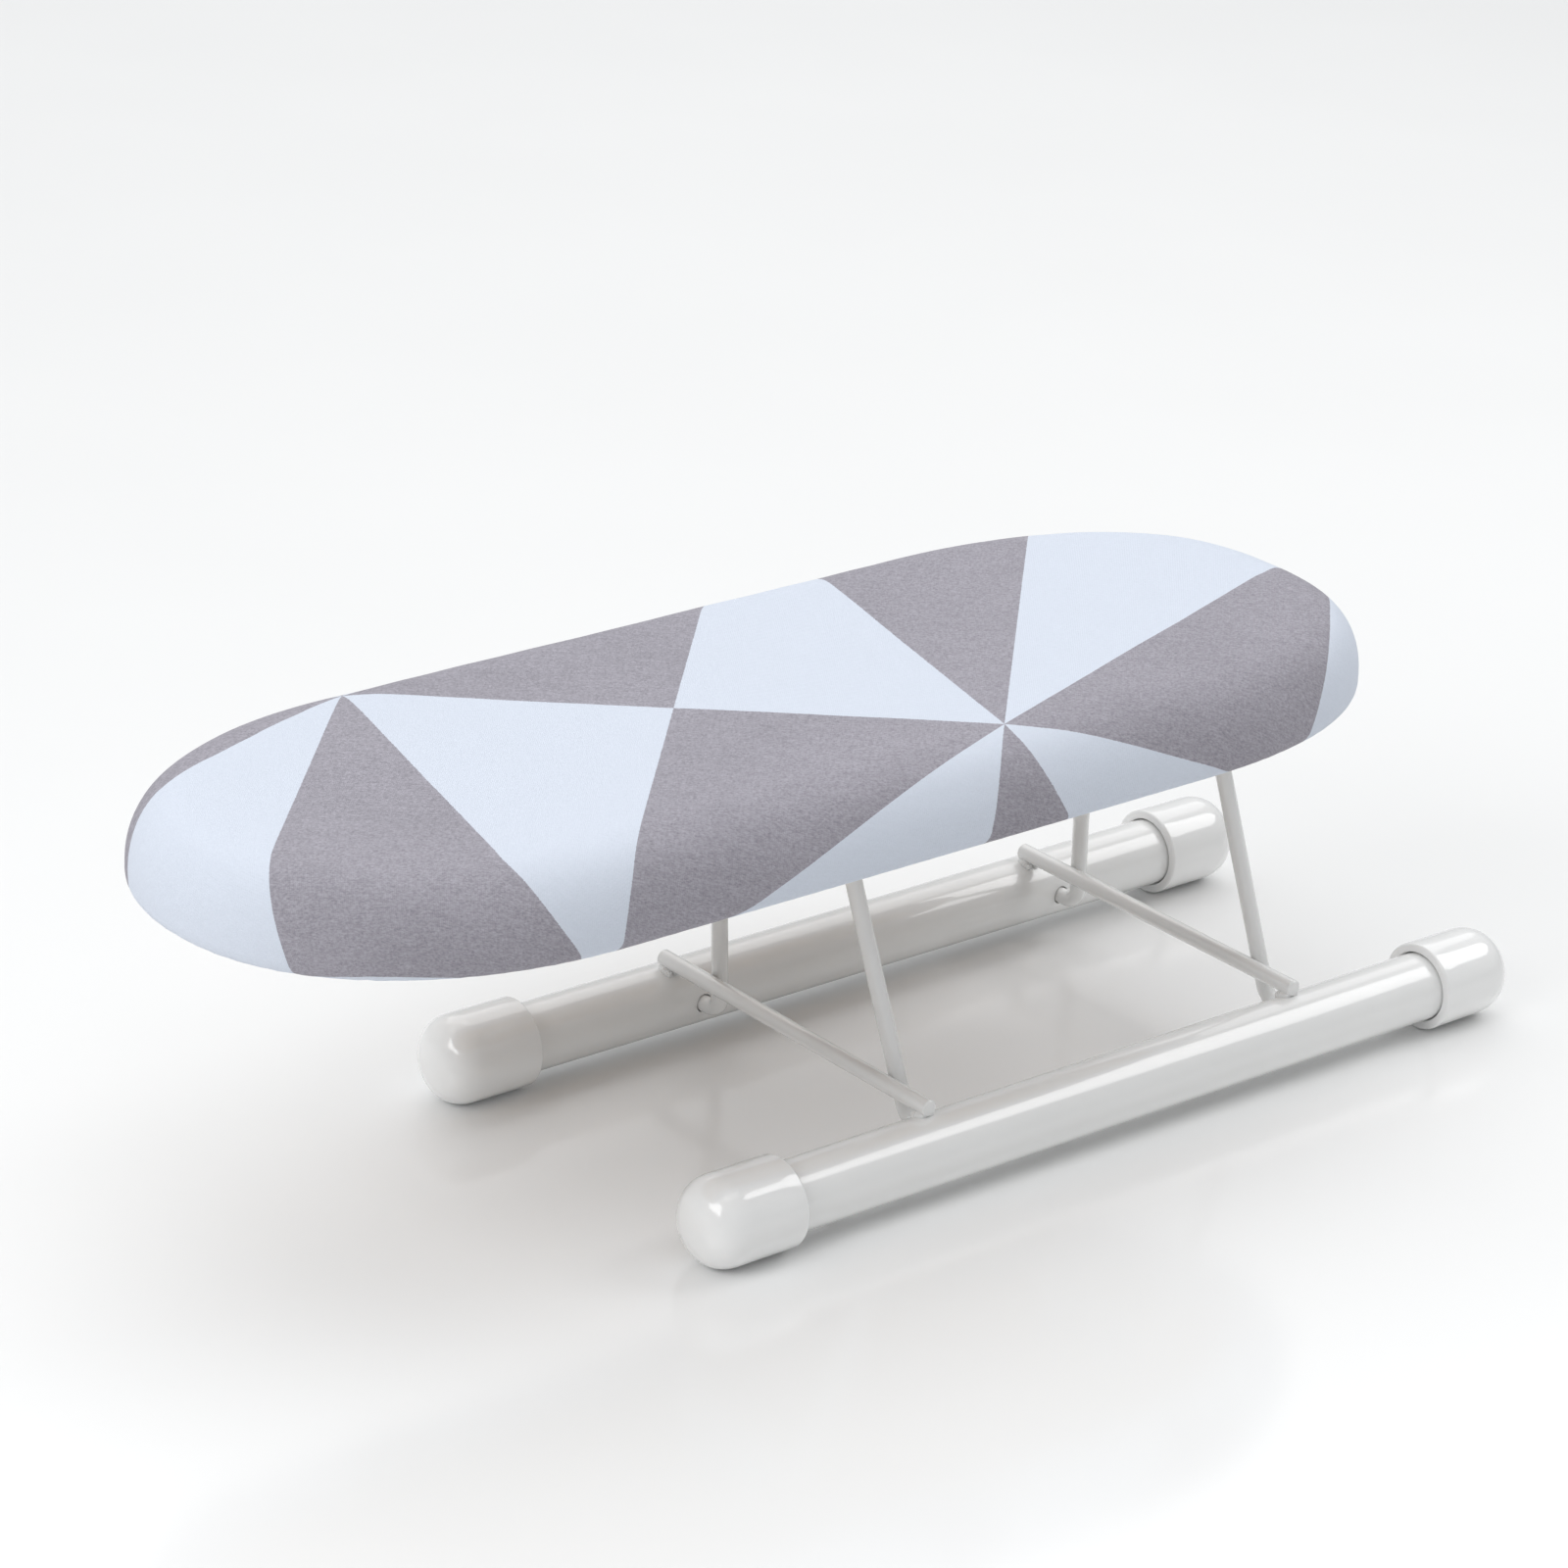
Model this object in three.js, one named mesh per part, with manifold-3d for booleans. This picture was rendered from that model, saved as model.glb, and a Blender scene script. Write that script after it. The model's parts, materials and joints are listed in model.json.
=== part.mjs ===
// Tabletop ironing board that folds flat: a padded board carried by two bent wire leg frames,
// which swing on a sledge base of two tubes joined by two cross rods.
// Millimetres, +Z up. The board's long axis is X, with its free, sleeve end at -X.
// The origin is on the table, under the middle of the whole object.

import * as THREE from 'three';
import { mergeVertices } from 'three/addons/utils/BufferGeometryUtils.js';
import Module from 'manifold-3d';

// ---- Clearances ----
const SEAT_GAP = 0.3; // between pieces that touch
const PIVOT_GAP = 0.4; // around a wire that turns in a hole or under a saddle
const CUT_OVERRUN = 1; // how far a cutting solid runs past the face it opens

// ---- Base ----
const BASE_LENGTH = 373.4; // over the end caps
const SKID_SPACING = 144; // between the two tube centre lines
const SKID_RADIUS = 12.5;
const SKID_WALL = 1.2;
const CAP_LENGTH = 36.9;
const CAP_WALL = 3.35;
const CAP_END_WALL = 4;
const CAP_CORNER_RADIUS = 8.5;
const CAP_CROWN = 2.2;
const CAP_MOUTH_RADIUS = 1;
const ROD_SPACING = 171; // between the two cross rods

// ---- Leg frames ----
const WIRE_RADIUS = 3; // the leg frames and the cross rods are the same wire
const HINGE_HEIGHT = 127; // table to the axis of the top bars
const LEG_LEAN = THREE.MathUtils.degToRad(11.5); // the tops lean towards -X
const LEG_TOP_WIDTH = 63.8; // between the corners of the top bar
const FOOT_SET_IN = 8.8; // from the side of a tube to the corner at the foot
const FOOT_BEND_RADIUS = 8;
const TOP_BEND_RADIUS = 9;
const FOOT_PIN_REACH = 6; // how far a foot runs on inside its tube

// ---- Board ----
const BOARD_LENGTH = 483;
const BOARD_WIDTH = 175;
const BASE_SET_OUT = 45.8; // the base's +X end stands past the board's
const FREE_END_LENGTH = 116; // of the rounding at the -X end
const FREE_END_POWER = 2.14; // 2 is an ellipse, more is squarer
const SQUARE_END_LENGTH = 128; // of the rounding at the +X end
const SQUARE_END_POWER = 2.36;
const PANEL_THICKNESS = 10;
const FOAM_THICKNESS = 17.3;
const COVER_THICKNESS = 1.2;
const BAR_HEADROOM = 2.3; // between a top bar and the underside of the cover
const SHOULDER_RUN = 22; // of the round-over around the top, along the board's plane
const SHOULDER_RISE = 21; // of the same round-over, upright
const EDGE_RADIUS = 5.5; // around the underside
const HEM_WIDTH = 22;
const ELASTIC_WIDTH = 5;
const ELASTIC_THICKNESS = 2;

// ---- Saddles and their screws ----
const SADDLE_WIDTH = 14; // along the top bar
const SADDLE_SHEET = 1.2;
const SADDLE_FLANGE = 10; // beyond the loop, each side
const SADDLE_SET_IN = 4.3; // from the end of the bar's straight run to a saddle
const SCREW_SHANK_RADIUS = 1.6;
const SCREW_STOP = 2.3; // of panel left whole beyond a screw's point
const SCREW_POINT = 2;
const SCREW_HEAD_RADIUS = 3.4;
const SCREW_HEAD_HEIGHT = 2;
const DRIVE_LENGTH = 3.8;
const DRIVE_WIDTH = 0.9;
const DRIVE_DEPTH = 1.1;

// ---- Roundness ----
const TUBE_SIDES = 24;
const WIRE_SIDES = 12;
const SCREW_SIDES = 12;
const BEND_STEPS = 6;
const ARC_STEPS = 5;
const END_STEPS = 14; // along a quarter of a board end
const SHOULDER_STEPS = 6;
const EDGE_STEPS = 3;

// ---- Places worked out from the sizes ----
const RIGHT_X = (BOARD_LENGTH + BASE_SET_OUT) / 2;
const BASE_X = RIGHT_X - BASE_LENGTH / 2;
const BOARD_LEFT_X = -RIGHT_X;
const BOARD_RIGHT_X = RIGHT_X - BASE_SET_OUT;
const CAP_BORE = SKID_RADIUS + SEAT_GAP;
const CAP_RADIUS = CAP_BORE + CAP_WALL;
const SKID_Y = SKID_SPACING / 2;
const SKID_Z = CAP_RADIUS;
const ROD_Z = SKID_Z + SKID_RADIUS + SEAT_GAP + WIRE_RADIUS;
// A leg at rest leans on its cross rod, so its foot stands this far to +X of the rod.
const FOOT_SET_OFF = (2 * WIRE_RADIUS + SEAT_GAP) / Math.cos(LEG_LEAN)
  + (ROD_Z - SKID_Z) * Math.tan(LEG_LEAN);
const LEG_LENGTH = (HINGE_HEIGHT - SKID_Z) / Math.cos(LEG_LEAN);
const HINGE_SET_BACK = LEG_LENGTH * Math.sin(LEG_LEAN);
const FOOT_Y = SKID_Y - SKID_RADIUS - FOOT_SET_IN;
const TOP_Y = LEG_TOP_WIDTH / 2;
const LEG_SPLAY = Math.atan2(FOOT_Y - TOP_Y, LEG_LENGTH);
const TOP_BEND_LENGTH = TOP_BEND_RADIUS * Math.tan((Math.PI / 2 - LEG_SPLAY) / 2);
const SADDLE_Y = TOP_Y - TOP_BEND_LENGTH - SADDLE_SET_IN - SADDLE_WIDTH / 2;
const COVER_BOTTOM = HINGE_HEIGHT + WIRE_RADIUS + BAR_HEADROOM;
const PANEL_BOTTOM = COVER_BOTTOM + COVER_THICKNESS + SEAT_GAP;
const PANEL_TOP = PANEL_BOTTOM + PANEL_THICKNESS;
const COVER_TOP = PANEL_TOP + SEAT_GAP + FOAM_THICKNESS + SEAT_GAP + COVER_THICKNESS;
const SADDLE_TOP = PANEL_BOTTOM - SEAT_GAP;
const SADDLE_BORE = WIRE_RADIUS + PIVOT_GAP;
const SCREW_SET_OFF = SADDLE_BORE + SADDLE_SHEET + SADDLE_FLANGE / 2;
const SCREW_SEAT = SADDLE_TOP - SADDLE_SHEET - SEAT_GAP;
const SCREW_LENGTH = PANEL_TOP - SCREW_STOP - SCREW_SEAT;

const SIDES = [{ name: 'front', y: -1 }, { name: 'rear', y: 1 }];
const ENDS = [
  { name: 'left', x: -1, rodX: BASE_X - ROD_SPACING / 2 },
  { name: 'right', x: 1, rodX: BASE_X + ROD_SPACING / 2 },
];
for (const end of ENDS) {
  end.footX = end.rodX + FOOT_SET_OFF;
  end.hingeX = end.footX - HINGE_SET_BACK;
}

// ---- Materials ----
const whitePaint = { color: 0xf0f0ee, roughness: 0.3, metalness: 0 };
const whitePlastic = { color: 0xf3f3f1, roughness: 0.35, metalness: 0 };
const zincSteel = { color: 0xb9bcc0, roughness: 0.35, metalness: 1 };
const printedCotton = { color: 0xb4b2ba, roughness: 0.95, metalness: 0 };
const paleFoam = { color: 0xefe6c8, roughness: 1, metalness: 0 };
const woodFibre = { color: 0xa88a66, roughness: 0.9, metalness: 0 };
const elasticWeb = { color: 0xe9e9e6, roughness: 0.9, metalness: 0 };

// ---- Joining and cutting ----
const wasm = await Module();
wasm.setup();

function solidOf(geometry) {
  const bare = geometry.clone();
  bare.deleteAttribute('normal');
  bare.deleteAttribute('uv');
  const merged = mergeVertices(bare);
  return new wasm.Manifold(new wasm.Mesh({
    numProp: 3,
    vertProperties: merged.getAttribute('position').array,
    triVerts: new Uint32Array(merged.index.array),
  }));
}

function geometryOf(solid) {
  const mesh = solid.getMesh();
  const geometry = new THREE.BufferGeometry();
  geometry.setAttribute('position', new THREE.BufferAttribute(mesh.vertProperties, 3));
  geometry.setIndex(new THREE.BufferAttribute(mesh.triVerts, 1));
  geometry.computeVertexNormals();
  return geometry;
}

// ---- Shared shapes ----
function circle(radius, sides) {
  return Array.from({ length: sides }, (_, i) => {
    const angle = (2 * Math.PI * i) / sides;
    return new THREE.Vector2(radius * Math.cos(angle), radius * Math.sin(angle));
  });
}

function arc(centreX, centreY, radiusX, radiusY, from, to) {
  return Array.from({ length: ARC_STEPS + 1 }, (_, i) => {
    const angle = THREE.MathUtils.degToRad(from + ((to - from) * i) / ARC_STEPS);
    return new THREE.Vector2(
      centreX + radiusX * Math.cos(angle),
      centreY + radiusY * Math.sin(angle),
    );
  });
}

function slab(points, bottom, top) {
  const depth = top - bottom;
  return new THREE.ExtrudeGeometry(new THREE.Shape(points), { depth, bevelEnabled: false })
    .translate(0, 0, bottom);
}

// A wire's centre line: straight between corners, with a round bend at each inner corner.
// It has stations only where the wire bends, so a straight run is one step long.
class BentWire extends THREE.Curve {
  constructor(corners, bendRadii) {
    super();
    const heading = (i) => corners[i + 1].clone().sub(corners[i]).normalize();
    this.stations = [{ point: corners[0], tangent: heading(0) }];
    for (let i = 1; i < corners.length - 1; i += 1) {
      this.addBend(corners[i], heading(i - 1), heading(i), bendRadii[i - 1]);
    }
    const last = corners.length - 1;
    this.stations.push({ point: corners[last], tangent: heading(last - 1) });
  }

  addBend(corner, before, after, radius) {
    const turn = before.angleTo(after);
    const inward = after.clone().addScaledVector(before, -Math.cos(turn)).normalize();
    const start = corner.clone().addScaledVector(before, -radius * Math.tan(turn / 2));
    for (let step = 0; step <= BEND_STEPS; step += 1) {
      const angle = (turn * step) / BEND_STEPS;
      const point = start.clone()
        .addScaledVector(before, radius * Math.sin(angle))
        .addScaledVector(inward, radius * (1 - Math.cos(angle)));
      const tangent = before.clone().multiplyScalar(Math.cos(angle))
        .addScaledVector(inward, Math.sin(angle));
      this.stations.push({ point, tangent });
    }
  }

  station(u) {
    return this.stations[Math.round(u * (this.stations.length - 1))];
  }

  getPointAt(u, target = new THREE.Vector3()) {
    return target.copy(this.station(u).point);
  }

  getTangentAt(u, target = new THREE.Vector3()) {
    return target.copy(this.station(u).tangent);
  }
}

function wireGeometry(centreLine, radius) {
  return new THREE.ExtrudeGeometry(new THREE.Shape(circle(radius, WIRE_SIDES)), {
    steps: centreLine.stations.length - 1,
    extrudePath: centreLine,
    bevelEnabled: false,
  });
}

// The board seen from above, drawn in by an inset: two superellipse ends joined by straight sides.
function boardOutline(inset) {
  const endPoint = (tipX, length, power, angle) => {
    const along = Math.abs(Math.cos(angle)) ** (2 / power);
    const across = Math.abs(Math.sin(angle)) ** (2 / power);
    const inwards = Math.sign(tipX);
    return new THREE.Vector2(
      tipX - inwards * length * (1 - along),
      Math.sign(Math.sin(angle)) * across * (BOARD_WIDTH / 2),
    );
  };
  const rim = [];
  for (let i = -END_STEPS; i <= END_STEPS; i += 1) {
    const angle = (Math.PI / 2) * (i / END_STEPS);
    rim.push(endPoint(BOARD_RIGHT_X, SQUARE_END_LENGTH, SQUARE_END_POWER, angle));
  }
  for (let i = END_STEPS; i >= -END_STEPS; i -= 1) {
    const angle = (Math.PI / 2) * (i / END_STEPS);
    rim.push(endPoint(BOARD_LEFT_X, FREE_END_LENGTH, FREE_END_POWER, angle));
  }
  return rim.map((point, i) => {
    const before = rim[(i + rim.length - 1) % rim.length];
    const after = rim[(i + 1) % rim.length];
    const along = after.clone().sub(before).normalize();
    return new THREE.Vector2(point.x - along.y * inset, point.y + along.x * inset);
  });
}

// The padded board as one body, drawn in all round by an inset: a wide round-over above the
// edge and a small one below it.
function paddedBody(inset) {
  const outline = new THREE.Shape(boardOutline(inset));
  const bottom = COVER_BOTTOM + inset;
  const top = COVER_TOP - inset;
  const rounded = (run, rise, segments, low, high) => new THREE.ExtrudeGeometry(outline, {
    depth: high - low - 2 * rise,
    bevelThickness: rise,
    bevelSize: run,
    bevelOffset: -run,
    bevelSegments: segments,
  }).translate(0, 0, low + rise);
  const run = SHOULDER_RUN - inset;
  const rise = SHOULDER_RISE - inset;
  const edge = EDGE_RADIUS - inset;
  const upper = rounded(run, rise, SHOULDER_STEPS, bottom - 2 * rise, top);
  const lower = rounded(edge, edge, EDGE_STEPS, bottom, top + 2 * edge);
  return solidOf(upper).intersect(solidOf(lower));
}

// ---- Base pieces ----
function skidTube(side) {
  const length = BASE_LENGTH - 2 * (CAP_END_WALL + SEAT_GAP);
  const ring = new THREE.Shape(circle(SKID_RADIUS, TUBE_SIDES));
  ring.holes.push(new THREE.Path(circle(SKID_RADIUS - SKID_WALL, TUBE_SIDES)));
  let tube = solidOf(new THREE.ExtrudeGeometry(ring, { depth: length, bevelEnabled: false })
    .translate(0, 0, -length / 2)
    .rotateY(Math.PI / 2)
    .translate(BASE_X, side.y * SKID_Y, SKID_Z));
  for (const end of ENDS) {
    const drill = new THREE.CylinderGeometry(
      WIRE_RADIUS + PIVOT_GAP, WIRE_RADIUS + PIVOT_GAP, SKID_RADIUS + CUT_OVERRUN, TUBE_SIDES,
    );
    const drillY = SKID_Y - (SKID_RADIUS + CUT_OVERRUN) / 2;
    tube = tube.subtract(solidOf(drill.translate(end.footX, side.y * drillY, SKID_Z)));
  }
  return geometryOf(tube);
}

function endCap(side, end) {
  const corner = CAP_CORNER_RADIUS;
  const mouth = CAP_MOUTH_RADIUS;
  const profile = [
    new THREE.Vector2(0, CAP_LENGTH - CAP_END_WALL),
    new THREE.Vector2(CAP_BORE, CAP_LENGTH - CAP_END_WALL),
    new THREE.Vector2(CAP_BORE, 0),
    ...arc(CAP_RADIUS - mouth, mouth, mouth, mouth, -90, 0),
    ...arc(CAP_RADIUS - corner, CAP_LENGTH - CAP_CROWN - corner, corner, corner, 0, 90),
    ...arc(0, CAP_LENGTH - CAP_CROWN, CAP_RADIUS - corner, CAP_CROWN, 30, 90),
  ];
  profile[profile.length - 1].x = 0;
  const cap = new THREE.LatheGeometry(profile, TUBE_SIDES)
    .rotateZ((-Math.PI / 2) * end.x)
    .translate(
      BASE_X + end.x * (BASE_LENGTH / 2 - CAP_LENGTH),
      side.y * SKID_Y,
      SKID_Z,
    );
  return geometryOf(solidOf(cap));
}

function crossRod(end) {
  return new THREE.CylinderGeometry(WIRE_RADIUS, WIRE_RADIUS, SKID_SPACING, WIRE_SIDES)
    .translate(end.rodX, 0, ROD_Z);
}

// ---- Leg frame: an inverted U whose feet turn out into the tubes, standing on its own origin ----
function legFrame() {
  const pinY = SKID_Y - SKID_RADIUS + SKID_WALL + FOOT_PIN_REACH;
  const corners = [
    new THREE.Vector3(0, -pinY, 0),
    new THREE.Vector3(0, -FOOT_Y, 0),
    new THREE.Vector3(0, -TOP_Y, LEG_LENGTH),
    new THREE.Vector3(0, TOP_Y, LEG_LENGTH),
    new THREE.Vector3(0, FOOT_Y, 0),
    new THREE.Vector3(0, pinY, 0),
  ];
  const bends = [FOOT_BEND_RADIUS, TOP_BEND_RADIUS, TOP_BEND_RADIUS, FOOT_BEND_RADIUS];
  return wireGeometry(new BentWire(corners, bends), WIRE_RADIUS);
}

// ---- Saddle: a strap bent under the top bar, with a flange each side ----
function saddlePlaces(end) {
  return SIDES.map((side) => ({ side, x: end.hingeX, y: side.y * SADDLE_Y }));
}

function screwPlaces(place) {
  return ENDS.map((hand) => ({ hand, x: place.x + hand.x * SCREW_SET_OFF, y: place.y }));
}

function saddle(place) {
  const outer = SADDLE_BORE + SADDLE_SHEET;
  const tip = outer + SADDLE_FLANGE;
  const top = SADDLE_TOP - HINGE_HEIGHT;
  const under = top - SADDLE_SHEET;
  const section = new THREE.Shape([
    new THREE.Vector2(-tip, top),
    new THREE.Vector2(-tip, under),
    new THREE.Vector2(-outer, under),
    ...arc(0, 0, outer, outer, 180, 270),
    ...arc(0, 0, outer, outer, 270, 360).slice(1),
    new THREE.Vector2(outer, under),
    new THREE.Vector2(tip, under),
    new THREE.Vector2(tip, top),
    new THREE.Vector2(SADDLE_BORE, top),
    ...arc(0, 0, SADDLE_BORE, SADDLE_BORE, 360, 270),
    ...arc(0, 0, SADDLE_BORE, SADDLE_BORE, 270, 180).slice(1),
    new THREE.Vector2(-SADDLE_BORE, top),
  ]);
  let strap = solidOf(new THREE.ExtrudeGeometry(section, { depth: SADDLE_WIDTH, bevelEnabled: false })
    .rotateX(Math.PI / 2)
    .translate(place.x, place.y + SADDLE_WIDTH / 2, HINGE_HEIGHT));
  for (const { x, y } of screwPlaces(place)) {
    const radius = SCREW_SHANK_RADIUS + SEAT_GAP;
    const height = SADDLE_SHEET + 2 * CUT_OVERRUN;
    const drill = new THREE.CylinderGeometry(radius, radius, height, SCREW_SIDES)
      .rotateX(Math.PI / 2)
      .translate(x, y, SADDLE_TOP - SADDLE_SHEET / 2);
    strap = strap.subtract(solidOf(drill));
  }
  return geometryOf(strap);
}

// ---- Screw: its head below the flange, its shank up into the panel ----
function saddleScrew({ x, y }) {
  const shoulder = SCREW_LENGTH - SCREW_POINT;
  const profile = [
    ...arc(0, 0, SCREW_HEAD_RADIUS, SCREW_HEAD_HEIGHT, -90, 0),
    new THREE.Vector2(SCREW_SHANK_RADIUS, 0),
    new THREE.Vector2(SCREW_SHANK_RADIUS, shoulder),
    new THREE.Vector2(0, SCREW_LENGTH),
  ];
  profile[0].x = 0;
  let screw = solidOf(new THREE.LatheGeometry(profile, SCREW_SIDES).rotateX(Math.PI / 2));
  for (const size of [[DRIVE_LENGTH, DRIVE_WIDTH], [DRIVE_WIDTH, DRIVE_LENGTH]]) {
    const bit = new THREE.BoxGeometry(size[0], size[1], 2 * DRIVE_DEPTH)
      .translate(0, 0, -SCREW_HEAD_HEIGHT);
    screw = screw.subtract(solidOf(bit));
  }
  return geometryOf(screw.translate([x, y, SCREW_SEAT]));
}

// ---- Board pieces ----
function halfSpace(bottom, top) {
  const reach = BOARD_LENGTH + BASE_LENGTH;
  return solidOf(new THREE.BoxGeometry(2 * reach, 2 * reach, top - bottom)
    .translate(0, 0, (top + bottom) / 2));
}

function boardPanel() {
  let panel = paddedBody(COVER_THICKNESS + SEAT_GAP)
    .intersect(halfSpace(COVER_BOTTOM, PANEL_TOP));
  const bottom = PANEL_BOTTOM - CUT_OVERRUN;
  const depth = SCREW_SEAT + SCREW_LENGTH + SEAT_GAP - bottom;
  const radius = SCREW_SHANK_RADIUS + SEAT_GAP;
  for (const { x, y } of ENDS.flatMap(saddlePlaces).flatMap(screwPlaces)) {
    const drill = new THREE.CylinderGeometry(radius, radius, depth, SCREW_SIDES)
      .rotateX(Math.PI / 2)
      .translate(x, y, bottom + depth / 2);
    panel = panel.subtract(solidOf(drill));
  }
  return geometryOf(panel);
}

function foamPad() {
  return geometryOf(paddedBody(COVER_THICKNESS + SEAT_GAP)
    .intersect(halfSpace(PANEL_TOP + SEAT_GAP, COVER_TOP)));
}

function fabricCover() {
  const opening = slab(boardOutline(HEM_WIDTH), COVER_BOTTOM - CUT_OVERRUN, PANEL_BOTTOM);
  return geometryOf(paddedBody(0)
    .subtract(paddedBody(COVER_THICKNESS))
    .subtract(solidOf(opening)));
}

function hemElastic() {
  const outside = HEM_WIDTH + SEAT_GAP;
  const top = PANEL_BOTTOM - SEAT_GAP;
  const ring = new THREE.Shape(boardOutline(outside));
  ring.holes.push(new THREE.Path(boardOutline(outside + ELASTIC_WIDTH)));
  return new THREE.ExtrudeGeometry(ring, { depth: ELASTIC_THICKNESS, bevelEnabled: false })
    .translate(0, 0, top - ELASTIC_THICKNESS);
}

// ---- The object ----
function piece(name, geometry, finish) {
  const mesh = new THREE.Mesh(geometry, new THREE.MeshStandardMaterial(finish));
  mesh.name = name;
  return mesh;
}

function baseGroup() {
  const base = new THREE.Group();
  for (const side of SIDES) {
    base.add(piece(`skid_tube_${side.name}`, skidTube(side), whitePaint));
    for (const end of ENDS) {
      base.add(piece(`end_cap_${side.name}_${end.name}`, endCap(side, end), whitePlastic));
    }
  }
  for (const end of ENDS) {
    base.add(piece(`cross_rod_${end.name}`, crossRod(end), whitePaint));
  }
  return base;
}

function legGroup(end) {
  const leg = new THREE.Group();
  leg.position.set(end.footX, 0, SKID_Z);
  leg.rotation.y = -LEG_LEAN;
  leg.add(piece(`leg_frame_${end.name}`, legFrame(), whitePaint));
  return leg;
}

function boardGroup() {
  const board = new THREE.Group();
  board.add(piece('board_panel', boardPanel(), woodFibre));
  board.add(piece('foam_pad', foamPad(), paleFoam));
  board.add(piece('fabric_cover', fabricCover(), printedCotton));
  board.add(piece('hem_elastic', hemElastic(), elasticWeb));
  for (const end of ENDS) {
    for (const place of saddlePlaces(end)) {
      const label = `${end.name}_${place.side.name}`;
      board.add(piece(`saddle_${label}`, saddle(place), zincSteel));
      for (const screw of screwPlaces(place)) {
        const name = `screw_${label}_${screw.hand.name}`;
        board.add(piece(name, saddleScrew(screw), zincSteel));
      }
    }
  }
  return board;
}

const ironingBoard = new THREE.Group();
ironingBoard.add(baseGroup());
for (const end of ENDS) {
  ironingBoard.add(legGroup(end));
}
ironingBoard.add(boardGroup());

export default ironingBoard;
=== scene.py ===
# %% [markdown]
# # A small folding ironing board
# The board stands on a table: two capped tubes on the ground, two bent wire frames on the tubes
# and a padded board in a printed cotton cover on the frames. This lesson dresses a finished CAD
# model. The CAD gives the places and the main sizes: a new piece is made where the CAD node
# lies, takes the node's place, and rides the same moving body.

# %% Load the CAD frame
import json
import math

import bmesh
import bpy
import numpy as np
from mathutils import Matrix, Vector, noise


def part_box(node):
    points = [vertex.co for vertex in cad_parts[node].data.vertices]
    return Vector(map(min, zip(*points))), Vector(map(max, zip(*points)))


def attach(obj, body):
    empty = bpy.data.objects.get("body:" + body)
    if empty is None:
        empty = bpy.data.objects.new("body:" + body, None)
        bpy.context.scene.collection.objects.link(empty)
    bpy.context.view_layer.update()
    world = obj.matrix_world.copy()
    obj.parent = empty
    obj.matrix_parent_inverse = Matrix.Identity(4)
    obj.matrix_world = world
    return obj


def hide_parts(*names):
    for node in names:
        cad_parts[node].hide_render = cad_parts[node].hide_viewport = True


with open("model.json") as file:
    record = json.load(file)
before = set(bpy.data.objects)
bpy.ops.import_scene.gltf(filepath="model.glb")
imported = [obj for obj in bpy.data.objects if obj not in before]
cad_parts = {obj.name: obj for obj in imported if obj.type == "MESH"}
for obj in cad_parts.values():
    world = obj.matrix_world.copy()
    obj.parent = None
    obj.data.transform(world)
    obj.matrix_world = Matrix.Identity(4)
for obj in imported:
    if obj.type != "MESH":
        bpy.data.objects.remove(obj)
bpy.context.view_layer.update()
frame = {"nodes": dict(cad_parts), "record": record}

MM = 0.001
print("nodes in the frame:", len(frame["nodes"]))

# %% [markdown]
# ## The places that everything else is hung on
# A joint in the record is the middle of a real pin, so the foot pins and the top bars of the leg
# frames are read from the joints. The remaining places are the corners of nodes. Reading them
# from the frame means that most changes of size in the CAD carry through to this script.

# %% Read the main places from the frame
def joint_place(name):
    """Where a joint's pin lies, in metres."""
    joints = frame["record"]["behaviour"]["joints"]
    return Vector(next(joint["pos_m"] for joint in joints if joint["name"] == name))


left_foot = joint_place("fold")
right_foot = joint_place("right_leg_foot")
left_top = joint_place("board_saddle")
tube_low, tube_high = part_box("skid_tube_rear")
cover_low, cover_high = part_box("fabric_cover")
tube_radius = (tube_high.z - tube_low.z) / 2
tube_y = (tube_high.y + tube_low.y) / 2
tube_z = left_foot.z
print("tube radius", round(tube_radius / MM, 2), "mm, spacing", round(2 * tube_y / MM, 1), "mm")

# %% [markdown]
# ## The camera
# The board is seen from the front left and from above, by a long lens that keeps the tubes
# nearly parallel. A look-at constraint would do for a level camera, but this one is rolled a
# little, so the matrix is built from its three axes: right, up and backwards.

# %% Set up the camera
CAMERA_PLACE = Vector((-1.0778, -1.2299, 0.8120))
CAMERA_YAW = math.radians(40.75)
CAMERA_PITCH = math.radians(-22.89)
CAMERA_ROLL = math.radians(3.19)
CAMERA_LENS = 120.5
SENSOR_WIDTH = 36

ahead = Vector((
    math.sin(CAMERA_YAW) * math.cos(CAMERA_PITCH),
    math.cos(CAMERA_YAW) * math.cos(CAMERA_PITCH),
    math.sin(CAMERA_PITCH),
))
level_right = Vector((math.cos(CAMERA_YAW), -math.sin(CAMERA_YAW), 0))
level_up = level_right.cross(ahead)
camera_right = level_right * math.cos(CAMERA_ROLL) + level_up * math.sin(CAMERA_ROLL)
camera_up = level_up * math.cos(CAMERA_ROLL) - level_right * math.sin(CAMERA_ROLL)

camera_data = bpy.data.cameras.new("camera")
camera_data.lens = CAMERA_LENS
camera_data.sensor_width = SENSOR_WIDTH
camera = bpy.data.objects.new("camera", camera_data)
camera_axes = Matrix((camera_right, camera_up, -ahead)).transposed()
camera.matrix_world = Matrix.Translation(CAMERA_PLACE) @ camera_axes.to_4x4()
bpy.context.scene.collection.objects.link(camera)
bpy.context.scene.camera = camera
print("camera is", round(CAMERA_PLACE.length, 2), "m away")

# %% [markdown]
# ## A short way to write materials
# A material is a tree of nodes, and joining them by hand takes many lines. This small class keeps
# one tree: a method adds one node, joins what it is given, and returns the output. Coordinates
# are the object's own, scaled to millimetres, so every size in a material is a real size.

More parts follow.
